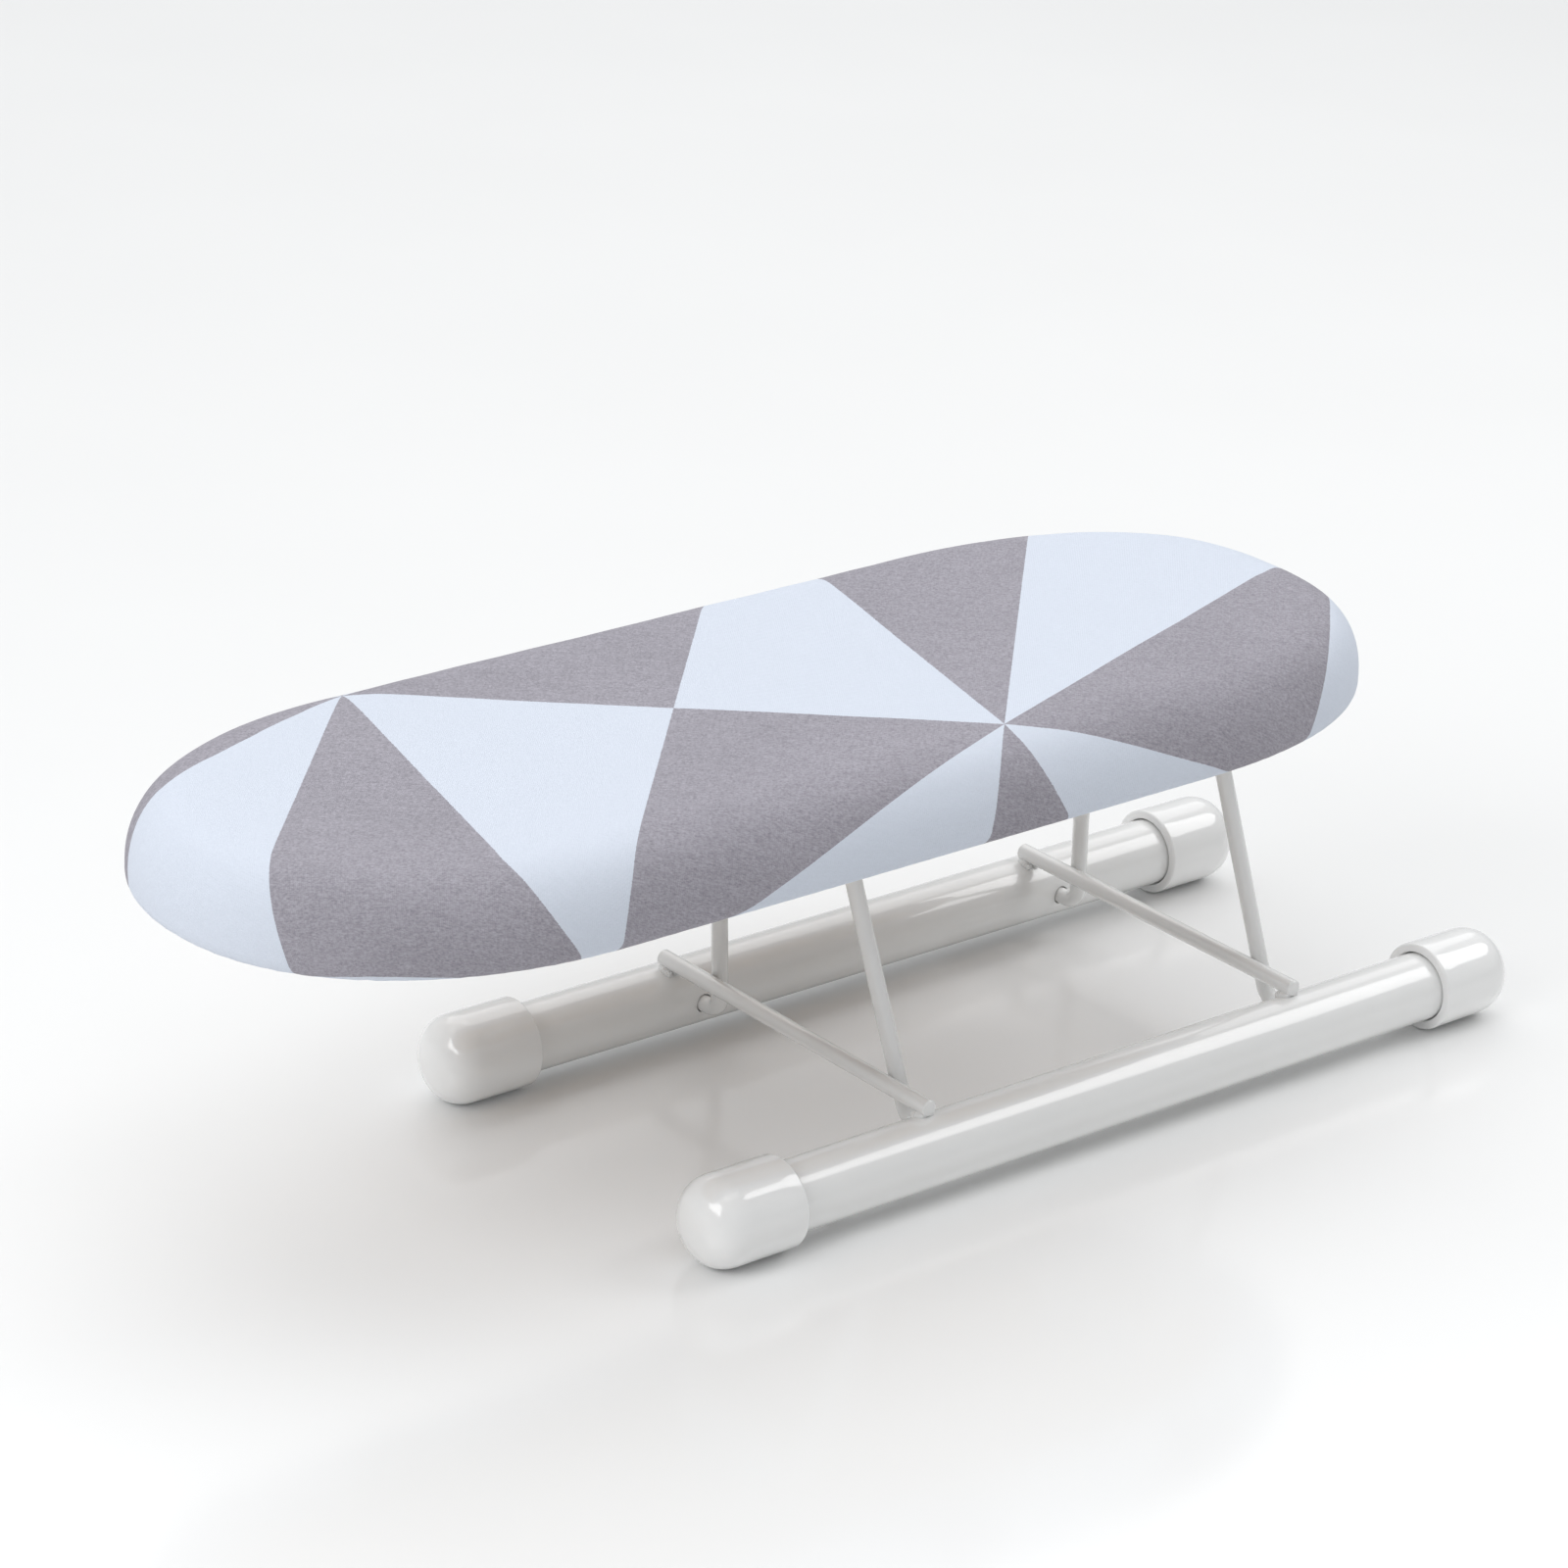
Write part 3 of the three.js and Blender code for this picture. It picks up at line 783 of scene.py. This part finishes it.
# %% Draw the cap's profile
CAP_WALL = 3.35 * MM
CAP_END_WALL = 4 * MM
CAP_DOME = 14 * MM
DOME_POWER = 2.5
DOME_STEPS = 28
CAP_MOUTH = 1 * MM
MOUTH_STEPS = 6
LEAD_IN_DEPTH = 0.5 * MM
LEAD_IN_RISE = 0.4 * MM
INSIDE_MIDDLE = 0.4 * MM
OUTSIDE_MIDDLE = 0.3 * MM
CAP_SIDES = 112

cap_low, cap_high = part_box("end_cap_rear_left")
cap_length = cap_high.x - cap_low.x
cap_radius = (cap_high.z - cap_low.z) / 2


cap_bore = cap_radius - CAP_WALL
cap_inside = cap_length - CAP_END_WALL
cap_profile = [(cap_inside, INSIDE_MIDDLE), (cap_inside, cap_bore)]
cap_profile += [(LEAD_IN_DEPTH, cap_bore), (0, cap_bore + LEAD_IN_RISE)]
for step in range(MOUTH_STEPS + 1):
    angle = math.pi / 2 * (step / MOUTH_STEPS - 1)
    cap_profile.append((CAP_MOUTH * (1 + math.sin(angle)),
                        cap_radius - CAP_MOUTH * (1 - math.cos(angle))))
cap_profile += [(cap_length * share, cap_radius) for share in (0.2, 0.4, 0.55)]
for step in range(DOME_STEPS):
    angle = math.pi / 2 * step / DOME_STEPS
    along = CAP_DOME * math.sin(angle) ** (2 / DOME_POWER)
    radius = cap_radius * math.cos(angle) ** (2 / DOME_POWER)
    cap_profile.append((cap_length - CAP_DOME + along, radius))
cap_profile.append((cap_length, OUTSIDE_MIDDLE))
print("cap profile has", len(cap_profile), "points")

# %% Turn the four caps
for end, direction in (("left", -1), ("right", 1)):
    for side, side_y in (("front", -1), ("rear", 1)):
        node = f"end_cap_{side}_{end}"
        low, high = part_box(node)
        mouth_x = high.x if direction < 0 else low.x
        vertices, faces = turned(cap_profile, CAP_SIDES, mouth_x, direction,
                                 side_y * tube_y, tube_z, False)
        add_piece(f"moulded_{node}", vertices, faces, cap_finish, "base", (node,))
print("caps: 4")

# %% [markdown]
# ## The board's outline
# Seen from above, the board has straight sides and two different ends: a rounder one for sleeves
# and a fuller one. Both are superellipses, an ellipse's formula with another power, which gives a
# fuller curve and still joins the straight sides smoothly. The points are spaced evenly along the
# line, because cloth behaves best with even faces.

# %% Draw the outline
ACROSS_STEPS = 44
ALONG_STEPS = 156
AROUND = 2 * (ACROSS_STEPS + ALONG_STEPS)
FREE_END_LENGTH = 116 * MM
FREE_END_POWER = 2.14
SQUARE_END_LENGTH = 128 * MM
SQUARE_END_POWER = 2.36
DENSE_STEPS = 6000


def outline_point(angle):
    """A point on the board's outline, 0 at the square end and pi at the free end."""
    if math.cos(angle) > 0:
        length, power = SQUARE_END_LENGTH, SQUARE_END_POWER
        x = cover_high.x - length * (1 - abs(math.cos(angle)) ** (2 / power))
    else:
        length, power = FREE_END_LENGTH, FREE_END_POWER
        x = cover_low.x + length * (1 - abs(math.cos(angle)) ** (2 / power))
    y = math.copysign(abs(math.sin(angle)) ** (2 / power), math.sin(angle)) * cover_high.y
    return x, y


turn = math.pi + np.linspace(0, 2 * math.pi, DENSE_STEPS)
dense = np.array([outline_point(angle) for angle in turn])
run_length = np.concatenate([[0], np.cumsum(np.hypot(*np.diff(dense, axis=0).T))])
perimeter = run_length[-1]
even = (np.arange(AROUND) - ACROSS_STEPS / 2) % AROUND * perimeter / AROUND
outline = np.column_stack([np.interp(even, run_length, dense[:, axis]) for axis in (0, 1)])
tangent = np.roll(outline, -1, 0) - np.roll(outline, 1, 0)
tangent /= np.linalg.norm(tangent, axis=1)[:, None]
outward = np.column_stack([tangent[:, 1], -tangent[:, 0]])
print("the outline is", round(perimeter / MM), "mm round, in steps of",
      round(perimeter / AROUND / MM, 2), "mm")

# %% [markdown]
# ## The cover's section
# Cut across, the cover is flat on top, rolls over a soft shoulder, which is a quarter of a
# superellipse, turns under the panel with a small radius and runs inwards to its elastic hem. The
# section is a list of insets from the outline and heights, and it is swept round the outline as
# rings. The print needs the length of cloth used so far at each of them.

# %% Draw the section
SHOULDER_RUN = 22 * MM
SHOULDER_POWER = 2.3
SHOULDER_STEPS = 20
EDGE_RADIUS = 5 * MM
EDGE_STEPS = 6
HEM_WIDTH = 22 * MM
HEM_STEPS = 7
CROWN = 0.6 * MM
SHOULDER_DROP = 0.3 * MM

shoulder_z = cover_high.z - SHOULDER_DROP
shoulder_rise = shoulder_z - cover_low.z - EDGE_RADIUS


def shoulder_point(angle, inside=0.0):
    """Inset and height on the shoulder, from 0 at the side to pi/2 on top, or inside it."""
    across = max(math.cos(angle), 0.0) ** (2 / SHOULDER_POWER)
    up = math.sin(angle) ** (2 / SHOULDER_POWER)
    inset = SHOULDER_RUN * (1 - across) + inside * math.cos(angle)
    height = cover_low.z + EDGE_RADIUS + shoulder_rise * up - inside * math.sin(angle)
    return inset, height


section = [shoulder_point(angle) for angle in np.linspace(math.pi / 2, 0, SHOULDER_STEPS + 1)]
for angle in np.linspace(0, math.pi / 2, EDGE_STEPS + 1)[1:]:
    section.append((EDGE_RADIUS * (1 - math.cos(angle)),
                    cover_low.z + EDGE_RADIUS * (1 - math.sin(angle))))
for inset in np.linspace(EDGE_RADIUS, HEM_WIDTH, HEM_STEPS + 1)[1:]:
    section.append((inset, cover_low.z))
section = np.array(section)
cloth_used = np.concatenate([[0], np.cumsum(np.hypot(*np.diff(section, axis=0).T))])
edge_used = cloth_used[SHOULDER_STEPS + EDGE_STEPS]
print("cloth from the shoulder to the hem:", round(cloth_used[-1] / MM, 1), "mm")

# %% [markdown]
# ## Gathers
# A flat cloth has too much length where it goes round an end, and the elastic takes it up in
# small gathers. They are deepest at the hem, die out just above the lower edge, and are stronger
# at the round ends than along the straight sides. Three waves of different length, one of which
# comes and goes slowly, avoid the look of a machine-cut frill.

# %% Helper: the depth of the gathers
GATHER_DEPTH = 1.1 * MM
TURN_REACH = 3
WINDOW_STEPS = 41

ahead_way = np.roll(outward, -TURN_REACH, 0)
behind_way = np.roll(outward, TURN_REACH, 0)
turn_rate = np.linalg.norm(ahead_way - behind_way, axis=1)
roundness = turn_rate / turn_rate.max()
window = np.hanning(WINDOW_STEPS) / np.hanning(WINDOW_STEPS).sum()
roundness = np.convolve(np.tile(roundness, 3), window, "same")[AROUND:2 * AROUND]
along_edge = np.arange(AROUND) * perimeter / AROUND / MM


def wave(length, phase):
    """A wave round the outline with a whole number of turns."""
    turns = round(perimeter / MM / length)
    return np.sin(2 * math.pi * turns * np.arange(AROUND) / AROUND + phase)


gather = 0.55 * wave(7.9, 0.4) + 0.35 * wave(11.3, 1.9) + 0.3 * wave(5.7, 2.2) * wave(61, 0.3)
gather *= 0.3 + 0.7 * roundness
print("gathers run from", round(gather.min(), 2), "to", round(gather.max(), 2))

# %% [markdown]
# ## Where each point of cloth lay before it was pulled on
# The print has to bend over the edge as the real one does, so every vertex keeps the place it
# had on the flat cloth. On top that is simply its place in plan. Past the shoulder it is the
# length of cloth used, measured out square to the outline. Along the front side and round the
# free end it is a little more, because the cloth is pulled tight there, and the print drifts
# sideways on its way down, because the cover was pulled on slightly askew. The pull starts
# gently at the shoulder and ends near the lower edge.

# %% Helper: the place on the flat cloth
PRINT_ORIGIN = (-148.4, 72.9)
PRINT_ANGLE = math.radians(-39.65)
PRINT_SKEW = math.radians(-4.75)
FRONT_PULL = (0.55, -0.133)
FRONT_DRIFT = (-0.237, -0.343)
END_PULL = 0.067
END_DRIFT = (0.17, -0.234)
EASE_IN = 14.0
DRIFT_SPAN = 30.0
TIGHT_END = 43.0
TIGHT_SOFTNESS = 2.5

warp_way = np.array([math.cos(PRINT_ANGLE), math.sin(PRINT_ANGLE)])
weft_angle = PRINT_ANGLE + math.pi / 2 + PRINT_SKEW
weft_way = np.array([math.cos(weft_angle), math.sin(weft_angle)])
to_yarns = np.linalg.inv(np.column_stack([warp_way, weft_way]))


def flat_places(ring_used):
    """Flat places in millimetres, in plan, of a whole ring at one length of cloth used."""
    used = ring_used / MM
    tight = used - TIGHT_SOFTNESS * math.log1p(math.exp((used - TIGHT_END) / TIGHT_SOFTNESS))
    eased = tight**2 / (tight + EASE_IN)
    late = tight**2 / DRIFT_SPAN
    front = np.clip(-outward[:, 1], 0, 1)
    free_end = np.clip(-outward[:, 0], 0, 1)
    pulled = used + front**2 * (FRONT_PULL[0] * eased + FRONT_PULL[1] * late)
    pulled += free_end**2 * END_PULL * eased
    places = (outline - outward * SHOULDER_RUN) / MM + outward * pulled[:, None]
    places[:, 0] += front * (FRONT_DRIFT[0] * eased + FRONT_DRIFT[1] * late)
    places[:, 1] += free_end * (END_DRIFT[0] * eased + END_DRIFT[1] * late)
    return places


def along_yarns(places):
    """Turns flat places into millimetres along the warp and along the weft."""
    return (places - np.array(PRINT_ORIGIN)) @ to_yarns.T


print("warp runs", round(math.degrees(PRINT_ANGLE), 1), "degrees from the board")

# %% [markdown]
# ## Building the cover
# The rings of the section come first. The flat top inside them could be filled with smaller and
# smaller rings, but those crowd into a spike in the middle, where cloth would pucker. A grid is
# better: the inner ring is cut into four runs that become the sides of a bent rectangle, and
# every inner point is blended from the two runs across and the two runs along.

# %% Helper: fill a ring with a grid
def grid_inside(ring):
    """Inner points of a grid whose four sides are the runs of a ring, row by row."""
    first = ring[:ACROSS_STEPS + 1]
    second = ring[ACROSS_STEPS:ACROSS_STEPS + ALONG_STEPS + 1]
    third = ring[ACROSS_STEPS + ALONG_STEPS:2 * ACROSS_STEPS + ALONG_STEPS + 1][::-1]
    fourth = np.vstack([ring[2 * ACROSS_STEPS + ALONG_STEPS:], ring[:1]])[::-1]
    rows = []
    for row in range(1, ALONG_STEPS):
        v = row / ALONG_STEPS
        for column in range(1, ACROSS_STEPS):
            u = column / ACROSS_STEPS
            across = (1 - u) * fourth[row] + u * second[row]
            along = (1 - v) * first[column] + v * third[column]
            corners = ((1 - u) * (1 - v) * first[0] + u * (1 - v) * first[-1]
                       + (1 - u) * v * third[0] + u * v * third[-1])
            rows.append(across + along - corners)
    return np.array(rows)


def grid_index(row, column, first_inner):
    """Vertex number of a grid point, whose border points belong to the ring."""
    if row == 0:
        return column
    if row == ALONG_STEPS:
        return (2 * ACROSS_STEPS + ALONG_STEPS - column) % AROUND
    if column == ACROSS_STEPS:
        return ACROSS_STEPS + row
    if column == 0:
        return AROUND - row
    return first_inner + (row - 1) * (ACROSS_STEPS - 1) + column - 1


def grid_faces(first_inner):
    """Quads of the whole grid, border included."""
    faces = []
    for row in range(ALONG_STEPS):
        for column in range(ACROSS_STEPS):
            faces.append((
                grid_index(row, column, first_inner),
                grid_index(row, column + 1, first_inner),
                grid_index(row + 1, column + 1, first_inner),
                grid_index(row + 1, column, first_inner),
            ))
    return faces


print("grid:", ALONG_STEPS, "by", ACROSS_STEPS)

# %% Make the cover's vertices and faces
GATHER_START = 0.8 * edge_used
GATHER_GROWTH = 1.4

rings = []
ring_places = []
for (inset, height), used in zip(section, cloth_used):
    depth = max(0.0, (used - GATHER_START) / (cloth_used[-1] - GATHER_START))
    ripple = GATHER_DEPTH * depth**GATHER_GROWTH * (gather - gather.max())
    plan = outline - outward * inset
    rings.append(np.column_stack([plan, height + ripple]))
    ring_places.append(along_yarns(flat_places(used)))
inner = grid_inside(rings[0])
inner_places = along_yarns(inner[:, :2] / MM)

cover_vertices = np.vstack([*rings, inner])
cover_places = np.vstack([*ring_places, inner_places])
first_inner = len(rings) * AROUND
cover_faces = [tuple(reversed(face)) for face in ring_faces(len(rings), AROUND)]
cover_faces += grid_faces(first_inner)
print("cover:", len(cover_vertices), "vertices,", len(cover_faces), "faces")

# %% [markdown]
# ## Letting the foam push the cover out
# A cloth simulation with a little pressure from inside does what foam does: the top rises in the
# middle and the sides fill out, while the hem, held by its elastic, stays. Free cloth would blow
# up like a balloon, so only the push outwards is kept, and it is limited softly: small moves stay
# nearly as they are and large ones level off at the crown set above.

# %% Helper: blow up a cloth and keep the result
PRESSURE = 1.2
SOFT_STOP = 0.35 * MM
LAST_FRAME = 20


def inflate(piece, held_weights, limit):
    """Runs a cloth simulation on the piece and writes the limited result to its mesh."""
    held = piece.vertex_groups.new(name="held")
    for index, weight in enumerate(held_weights):
        if weight > 0:
            held.add([index], weight, "REPLACE")
    modifier = piece.modifiers.new("cloth", "CLOTH")
    modifier.settings.quality = 6
    modifier.settings.mass = 0.2
    modifier.settings.tension_stiffness = 40
    modifier.settings.compression_stiffness = 40
    modifier.settings.bending_stiffness = 2
    modifier.settings.use_pressure = True
    modifier.settings.uniform_pressure_force = PRESSURE
    modifier.settings.effector_weights.gravity = 0
    modifier.settings.vertex_group_mass = held.name
    modifier.collision_settings.use_collision = False
    modifier.point_cache.frame_end = LAST_FRAME
    for number in range(1, LAST_FRAME + 1):
        bpy.context.scene.frame_set(number)
    graph = bpy.context.evaluated_depsgraph_get()
    blown = piece.evaluated_get(graph).to_mesh()
    start, end, normals = (np.empty(len(piece.data.vertices) * 3) for _ in range(3))
    piece.data.vertices.foreach_get("co", start)
    piece.data.vertices.foreach_get("normal", normals)
    blown.vertices.foreach_get("co", end)
    piece.evaluated_get(graph).to_mesh_clear()
    normals = normals.reshape(-1, 3)
    push = np.sum((end - start).reshape(-1, 3) * normals, axis=1)
    outward_push = SOFT_STOP * np.logaddexp(0, push / SOFT_STOP)
    kept = limit * np.tanh(outward_push / limit) * (1 - held_weights)
    piece.modifiers.clear()
    piece.vertex_groups.clear()
    piece.data.vertices.foreach_set("co", start + (normals * kept[:, None]).ravel())
    piece.data.update()
    bpy.context.scene.frame_set(1)
    return push, kept


def store_places(piece, places):
    """Keeps a flat place in millimetres with every vertex, for the material to read."""
    stored = piece.data.attributes.new("cloth_place", "FLOAT_VECTOR", "POINT")
    stored.data.foreach_set("vector", np.column_stack([places, np.zeros(len(places))]).ravel())


print("frames in each simulation:", LAST_FRAME)

# %% Make the cover
cover = add_piece("printed_cover", cover_vertices, cover_faces, cotton_finish,
                  "board", ("fabric_cover",))
cover.data.shade_smooth()
store_places(cover, cover_places)

HELD_START = 0.72 * edge_used

held_weights = np.zeros(len(cover_vertices))
for ring, used in enumerate(cloth_used):
    share = np.clip((used - HELD_START) / (edge_used - HELD_START), 0, 1)
    held_weights[ring * AROUND:(ring + 1) * AROUND] = share
push, kept = inflate(cover, held_weights, CROWN)
print("cloth wanted to move", round(push.max() / MM, 1), "mm and moved",
      round(kept.max() / MM, 2), "mm")

# %% [markdown]
# ## Small unevenness
# Even a tight cover isn't perfectly even: the foam is cut by hand and the cloth has a memory of
# its folds. Slow noise moves the free cloth by a fraction of a millimetre along its normals. The
# cloth's own thickness comes last, added inwards, so that the hem shows a real edge below.

# %% Roughen the shape and give the cloth its thickness
UNEVEN = 0.28 * MM
SLOW_SIZE = 46 * MM
QUICK_SIZE = 15 * MM
QUICK_SHARE = 0.4
QUICK_SHIFT = Vector((7, 3, 1))
CLOTH_THICKNESS = 0.8 * MM

for vertex, held in zip(cover.data.vertices, held_weights):
    slow = noise.noise(vertex.co / SLOW_SIZE)
    quick = noise.noise(vertex.co / QUICK_SIZE + QUICK_SHIFT)
    vertex.co += vertex.normal * UNEVEN * (1 - held) * (slow + QUICK_SHARE * quick)

thickness = cover.modifiers.new("cloth_thickness", "SOLIDIFY")
thickness.thickness = CLOTH_THICKNESS
thickness.offset = -1
print("cloth is", CLOTH_THICKNESS / MM, "mm thick")

# %% [markdown]
# ## The foam
# The foam is out of sight, yet it is a real piece: a slab with its upper edge rounded off, flat
# below where it rests on the panel. Its shape is the cover's own section moved inwards, so it
# fills the cover and stays clear of it.

# %% Make the foam pad
FOAM_INSIDE = CLOTH_THICKNESS + 0.9 * MM
FOAM_LAST_ANGLE = math.radians(11)
FOAM_RINGS = 12

foam_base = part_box("foam_pad")[0].z
foam_rings = []
for angle in np.linspace(math.pi / 2, FOAM_LAST_ANGLE, FOAM_RINGS):
    inset, height = shoulder_point(angle, FOAM_INSIDE)
    plan = outline - outward * inset
    foam_rings.append(np.column_stack([plan, np.full(AROUND, max(height, foam_base))]))
foam_inner = grid_inside(foam_rings[0])
foam_vertices = np.vstack([*foam_rings, foam_inner])
foam_faces = [tuple(reversed(face)) for face in ring_faces(len(foam_rings), AROUND)]
foam_faces += grid_faces(len(foam_rings) * AROUND)
foam_faces.append(tuple(range((len(foam_rings) - 1) * AROUND, len(foam_rings) * AROUND)))
foam = add_piece("fitted_foam_pad", foam_vertices, foam_faces, foam_finish, "board",
                 ("foam_pad",))
print("foam:", len(foam.data.polygons), "faces")

# %% [markdown]
# ## The elastic hem
# Under the panel the cloth ends in a band of knitted elastic, sewn on stretched, so that it
# gathers the cloth when it is let go. The band is a small rounded section swept round the board
# and it follows the gathers. A zigzag stitch, which can stretch with the elastic, crosses the
# join.

# %% Make the elastic band
elastic_low, elastic_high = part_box("hem_elastic")
ELASTIC_INSET = 22.3 * MM
ELASTIC_WIDTH = 5 * MM

hem_ripple = GATHER_DEPTH * (gather - gather.max())
band_middle = (elastic_low.z + elastic_high.z) / 2
band_half = (elastic_high.z - elastic_low.z) / 2 - 0.25 * MM
band_rings = []
band_places = []
for angle in np.linspace(0, 2 * math.pi, 20, endpoint=False):
    inset = ELASTIC_INSET + ELASTIC_WIDTH * (0.5 + 0.5 * math.copysign(
        abs(math.cos(angle)) ** 0.5, math.cos(angle)))
    height = band_half * math.copysign(abs(math.sin(angle)) ** 0.7, math.sin(angle))
    plan = outline - outward * inset
    band_rings.append(np.column_stack([plan, band_middle + height + 0.8 * hem_ripple]))
    band_places.append(np.column_stack([along_edge, np.full(AROUND, inset / MM)]))
band_faces = ring_faces(len(band_rings), AROUND)
band_faces += closing_faces(len(band_rings), AROUND)
band = add_piece("gathered_hem_elastic", np.vstack(band_rings), band_faces, elastic_finish,
                 "board", ("hem_elastic",))
store_places(band, np.vstack(band_places))
print("elastic:", len(band_faces), "faces")

# %% Sew the zigzag
STITCHES = 380
STITCH_NEAR = 20.4 * MM
STITCH_FAR = 23.6 * MM
THREAD_RADIUS = 0.2 * MM
THREAD_SIDES = 8

corner_even = np.arange(2 * STITCHES) / (2 * STITCHES) * AROUND
thread_centres = []
for number, position in enumerate(corner_even):
    index = int(position)
    share = position - index
    beside = (index + 1) % AROUND
    inset = STITCH_NEAR if number % 2 else STITCH_FAR
    plan = ((1 - share) * (outline[index] - outward[index] * inset)
            + share * (outline[beside] - outward[beside] * inset))
    ripple = (1 - share) * hem_ripple[index] + share * hem_ripple[beside]
    below = min(cover_low.z, elastic_low.z) if number % 2 == 0 else cover_low.z
    thread_centres.append(Vector((*plan, below + 0.85 * ripple)))
thread_centres.append(thread_centres[0])
thread_radii = [THREAD_RADIUS] * len(thread_centres)
vertices, faces = swept_bar(thread_centres, thread_radii, THREAD_SIDES)
add_piece("hem_zigzag_thread", vertices, faces, thread_finish, "board")
print("zigzag stitches:", STITCHES)

# %% [markdown]
# ## Finishes for the CAD pieces that stay
# The panel, the saddles and the screws have their true shape already, so only a finish is put
# on them.

# %% Put finishes on the CAD pieces
for name, node in frame["nodes"].items():
    if name.startswith(("saddle", "screw")):
        finish = zinc_finish
    elif name == "board_panel":
        finish = panel_finish
    else:
        continue
    for slot in node.material_slots:
        slot.material = finish
    print(name, "wears", finish.name)

# %% [markdown]
# ## The floor
# A plain pale floor with a soft gloss. It carries a soft shadow and a faint mirror image of the
# tubes. It is a flat sheet so large that its rim stays far outside the picture.

# %% Make the floor
def studio_floor():
    """Pale floor with a slightly uneven gloss."""
    finish = Finish("studio_floor", (0.93, 0.93, 0.925), 0.2)
    place = finish.place()
    cloud = finish.noise(place, 180, 2)
    finish.set(
        Base_Color=finish.mix(cloud, (0.92, 0.92, 0.915), (0.94, 0.94, 0.935)),
        Roughness=finish.spread(cloud, 0.3, 0.7, 0.12, 0.17),
    )
    return finish.material


FLOOR_RADIUS = 6.0
FLOOR_SIDES = 96

floor_mesh = bpy.data.meshes.new("floor")
floor_builder = bmesh.new()
bmesh.ops.create_circle(floor_builder, cap_ends=True, radius=FLOOR_RADIUS, segments=FLOOR_SIDES)
floor_builder.to_mesh(floor_mesh)
floor_builder.free()
floor_mesh.materials.append(studio_floor())
floor = bpy.data.objects.new("floor", floor_mesh)
bpy.context.scene.collection.objects.link(floor)
print("floor radius", FLOOR_RADIUS, "m")

# %% [markdown]
# ## The light
# Soft studio light. The room itself gives most of it: it is bright above and behind on the left
# and dim on the near side, so the board's near edge falls into a soft shade. A softbox on the
# left lights the free end, a large one overhead draws the long highlights on the tubes, one on
# the right opens the shadow under the board, and one behind brightens the floor at the back.

# %% Light the room
DIM_SIDE = 0.3
BRIGHT_SIDE = 0.78
BRIGHT_WAY = (-0.4, 0.5, 0.77)
DIM_WAY = -0.7

world = bpy.data.worlds.new("studio")
bpy.context.scene.world = world
world.use_nodes = True
world_nodes = world.node_tree.nodes
world_links = world.node_tree.links
background = world_nodes["Background"]
background.inputs["Color"].default_value = (0.97, 0.985, 1.0, 1)
direction = world_nodes.new("ShaderNodeTexCoord")
toward_bright = world_nodes.new("ShaderNodeVectorMath")
toward_bright.operation = "DOT_PRODUCT"
toward_bright.inputs[1].default_value = BRIGHT_WAY
world_links.new(direction.outputs["Generated"], toward_bright.inputs[0])
room_fade = world_nodes.new("ShaderNodeMapRange")
world_links.new(toward_bright.outputs["Value"], room_fade.inputs["Value"])
room_fade.inputs["From Min"].default_value = DIM_WAY
room_fade.inputs["To Min"].default_value = DIM_SIDE
room_fade.inputs["To Max"].default_value = BRIGHT_SIDE
world_links.new(room_fade.outputs[0], background.inputs["Strength"])
print("room light runs from", DIM_SIDE, "to", BRIGHT_SIDE)


# %% Set up the softboxes
def softbox(name, place, target, size, power):
    """A rectangular area light that faces its target."""
    data = bpy.data.lights.new(name, "AREA")
    data.shape = "RECTANGLE"
    data.size, data.size_y = size
    data.energy = power
    lamp = bpy.data.objects.new(name, data)
    lamp.location = place
    facing = Vector(target) - Vector(place)
    lamp.rotation_euler = facing.to_track_quat("-Z", "Y").to_euler()
    bpy.context.scene.collection.objects.link(lamp)
    return lamp


softbox("left_light", (-1.35, -0.15, 1.0), (-0.2, 0, 0.12), (1.0, 0.8), 7.5)
softbox("overhead", (0.0, 0.2, 2.2), (0, 0, 0), (2.2, 2.2), 9)
softbox("right_window", (1.25, -0.45, 1.25), (0, 0, 0.05), (0.9, 0.7), 5.5)
softbox("back_light", (1.3, 1.7, 1.9), (1.1, 1.5, 0), (2.6, 2.2), 15)
bpy.context.scene.view_settings.view_transform = "Standard"
print("lamps:", len(bpy.data.lights))
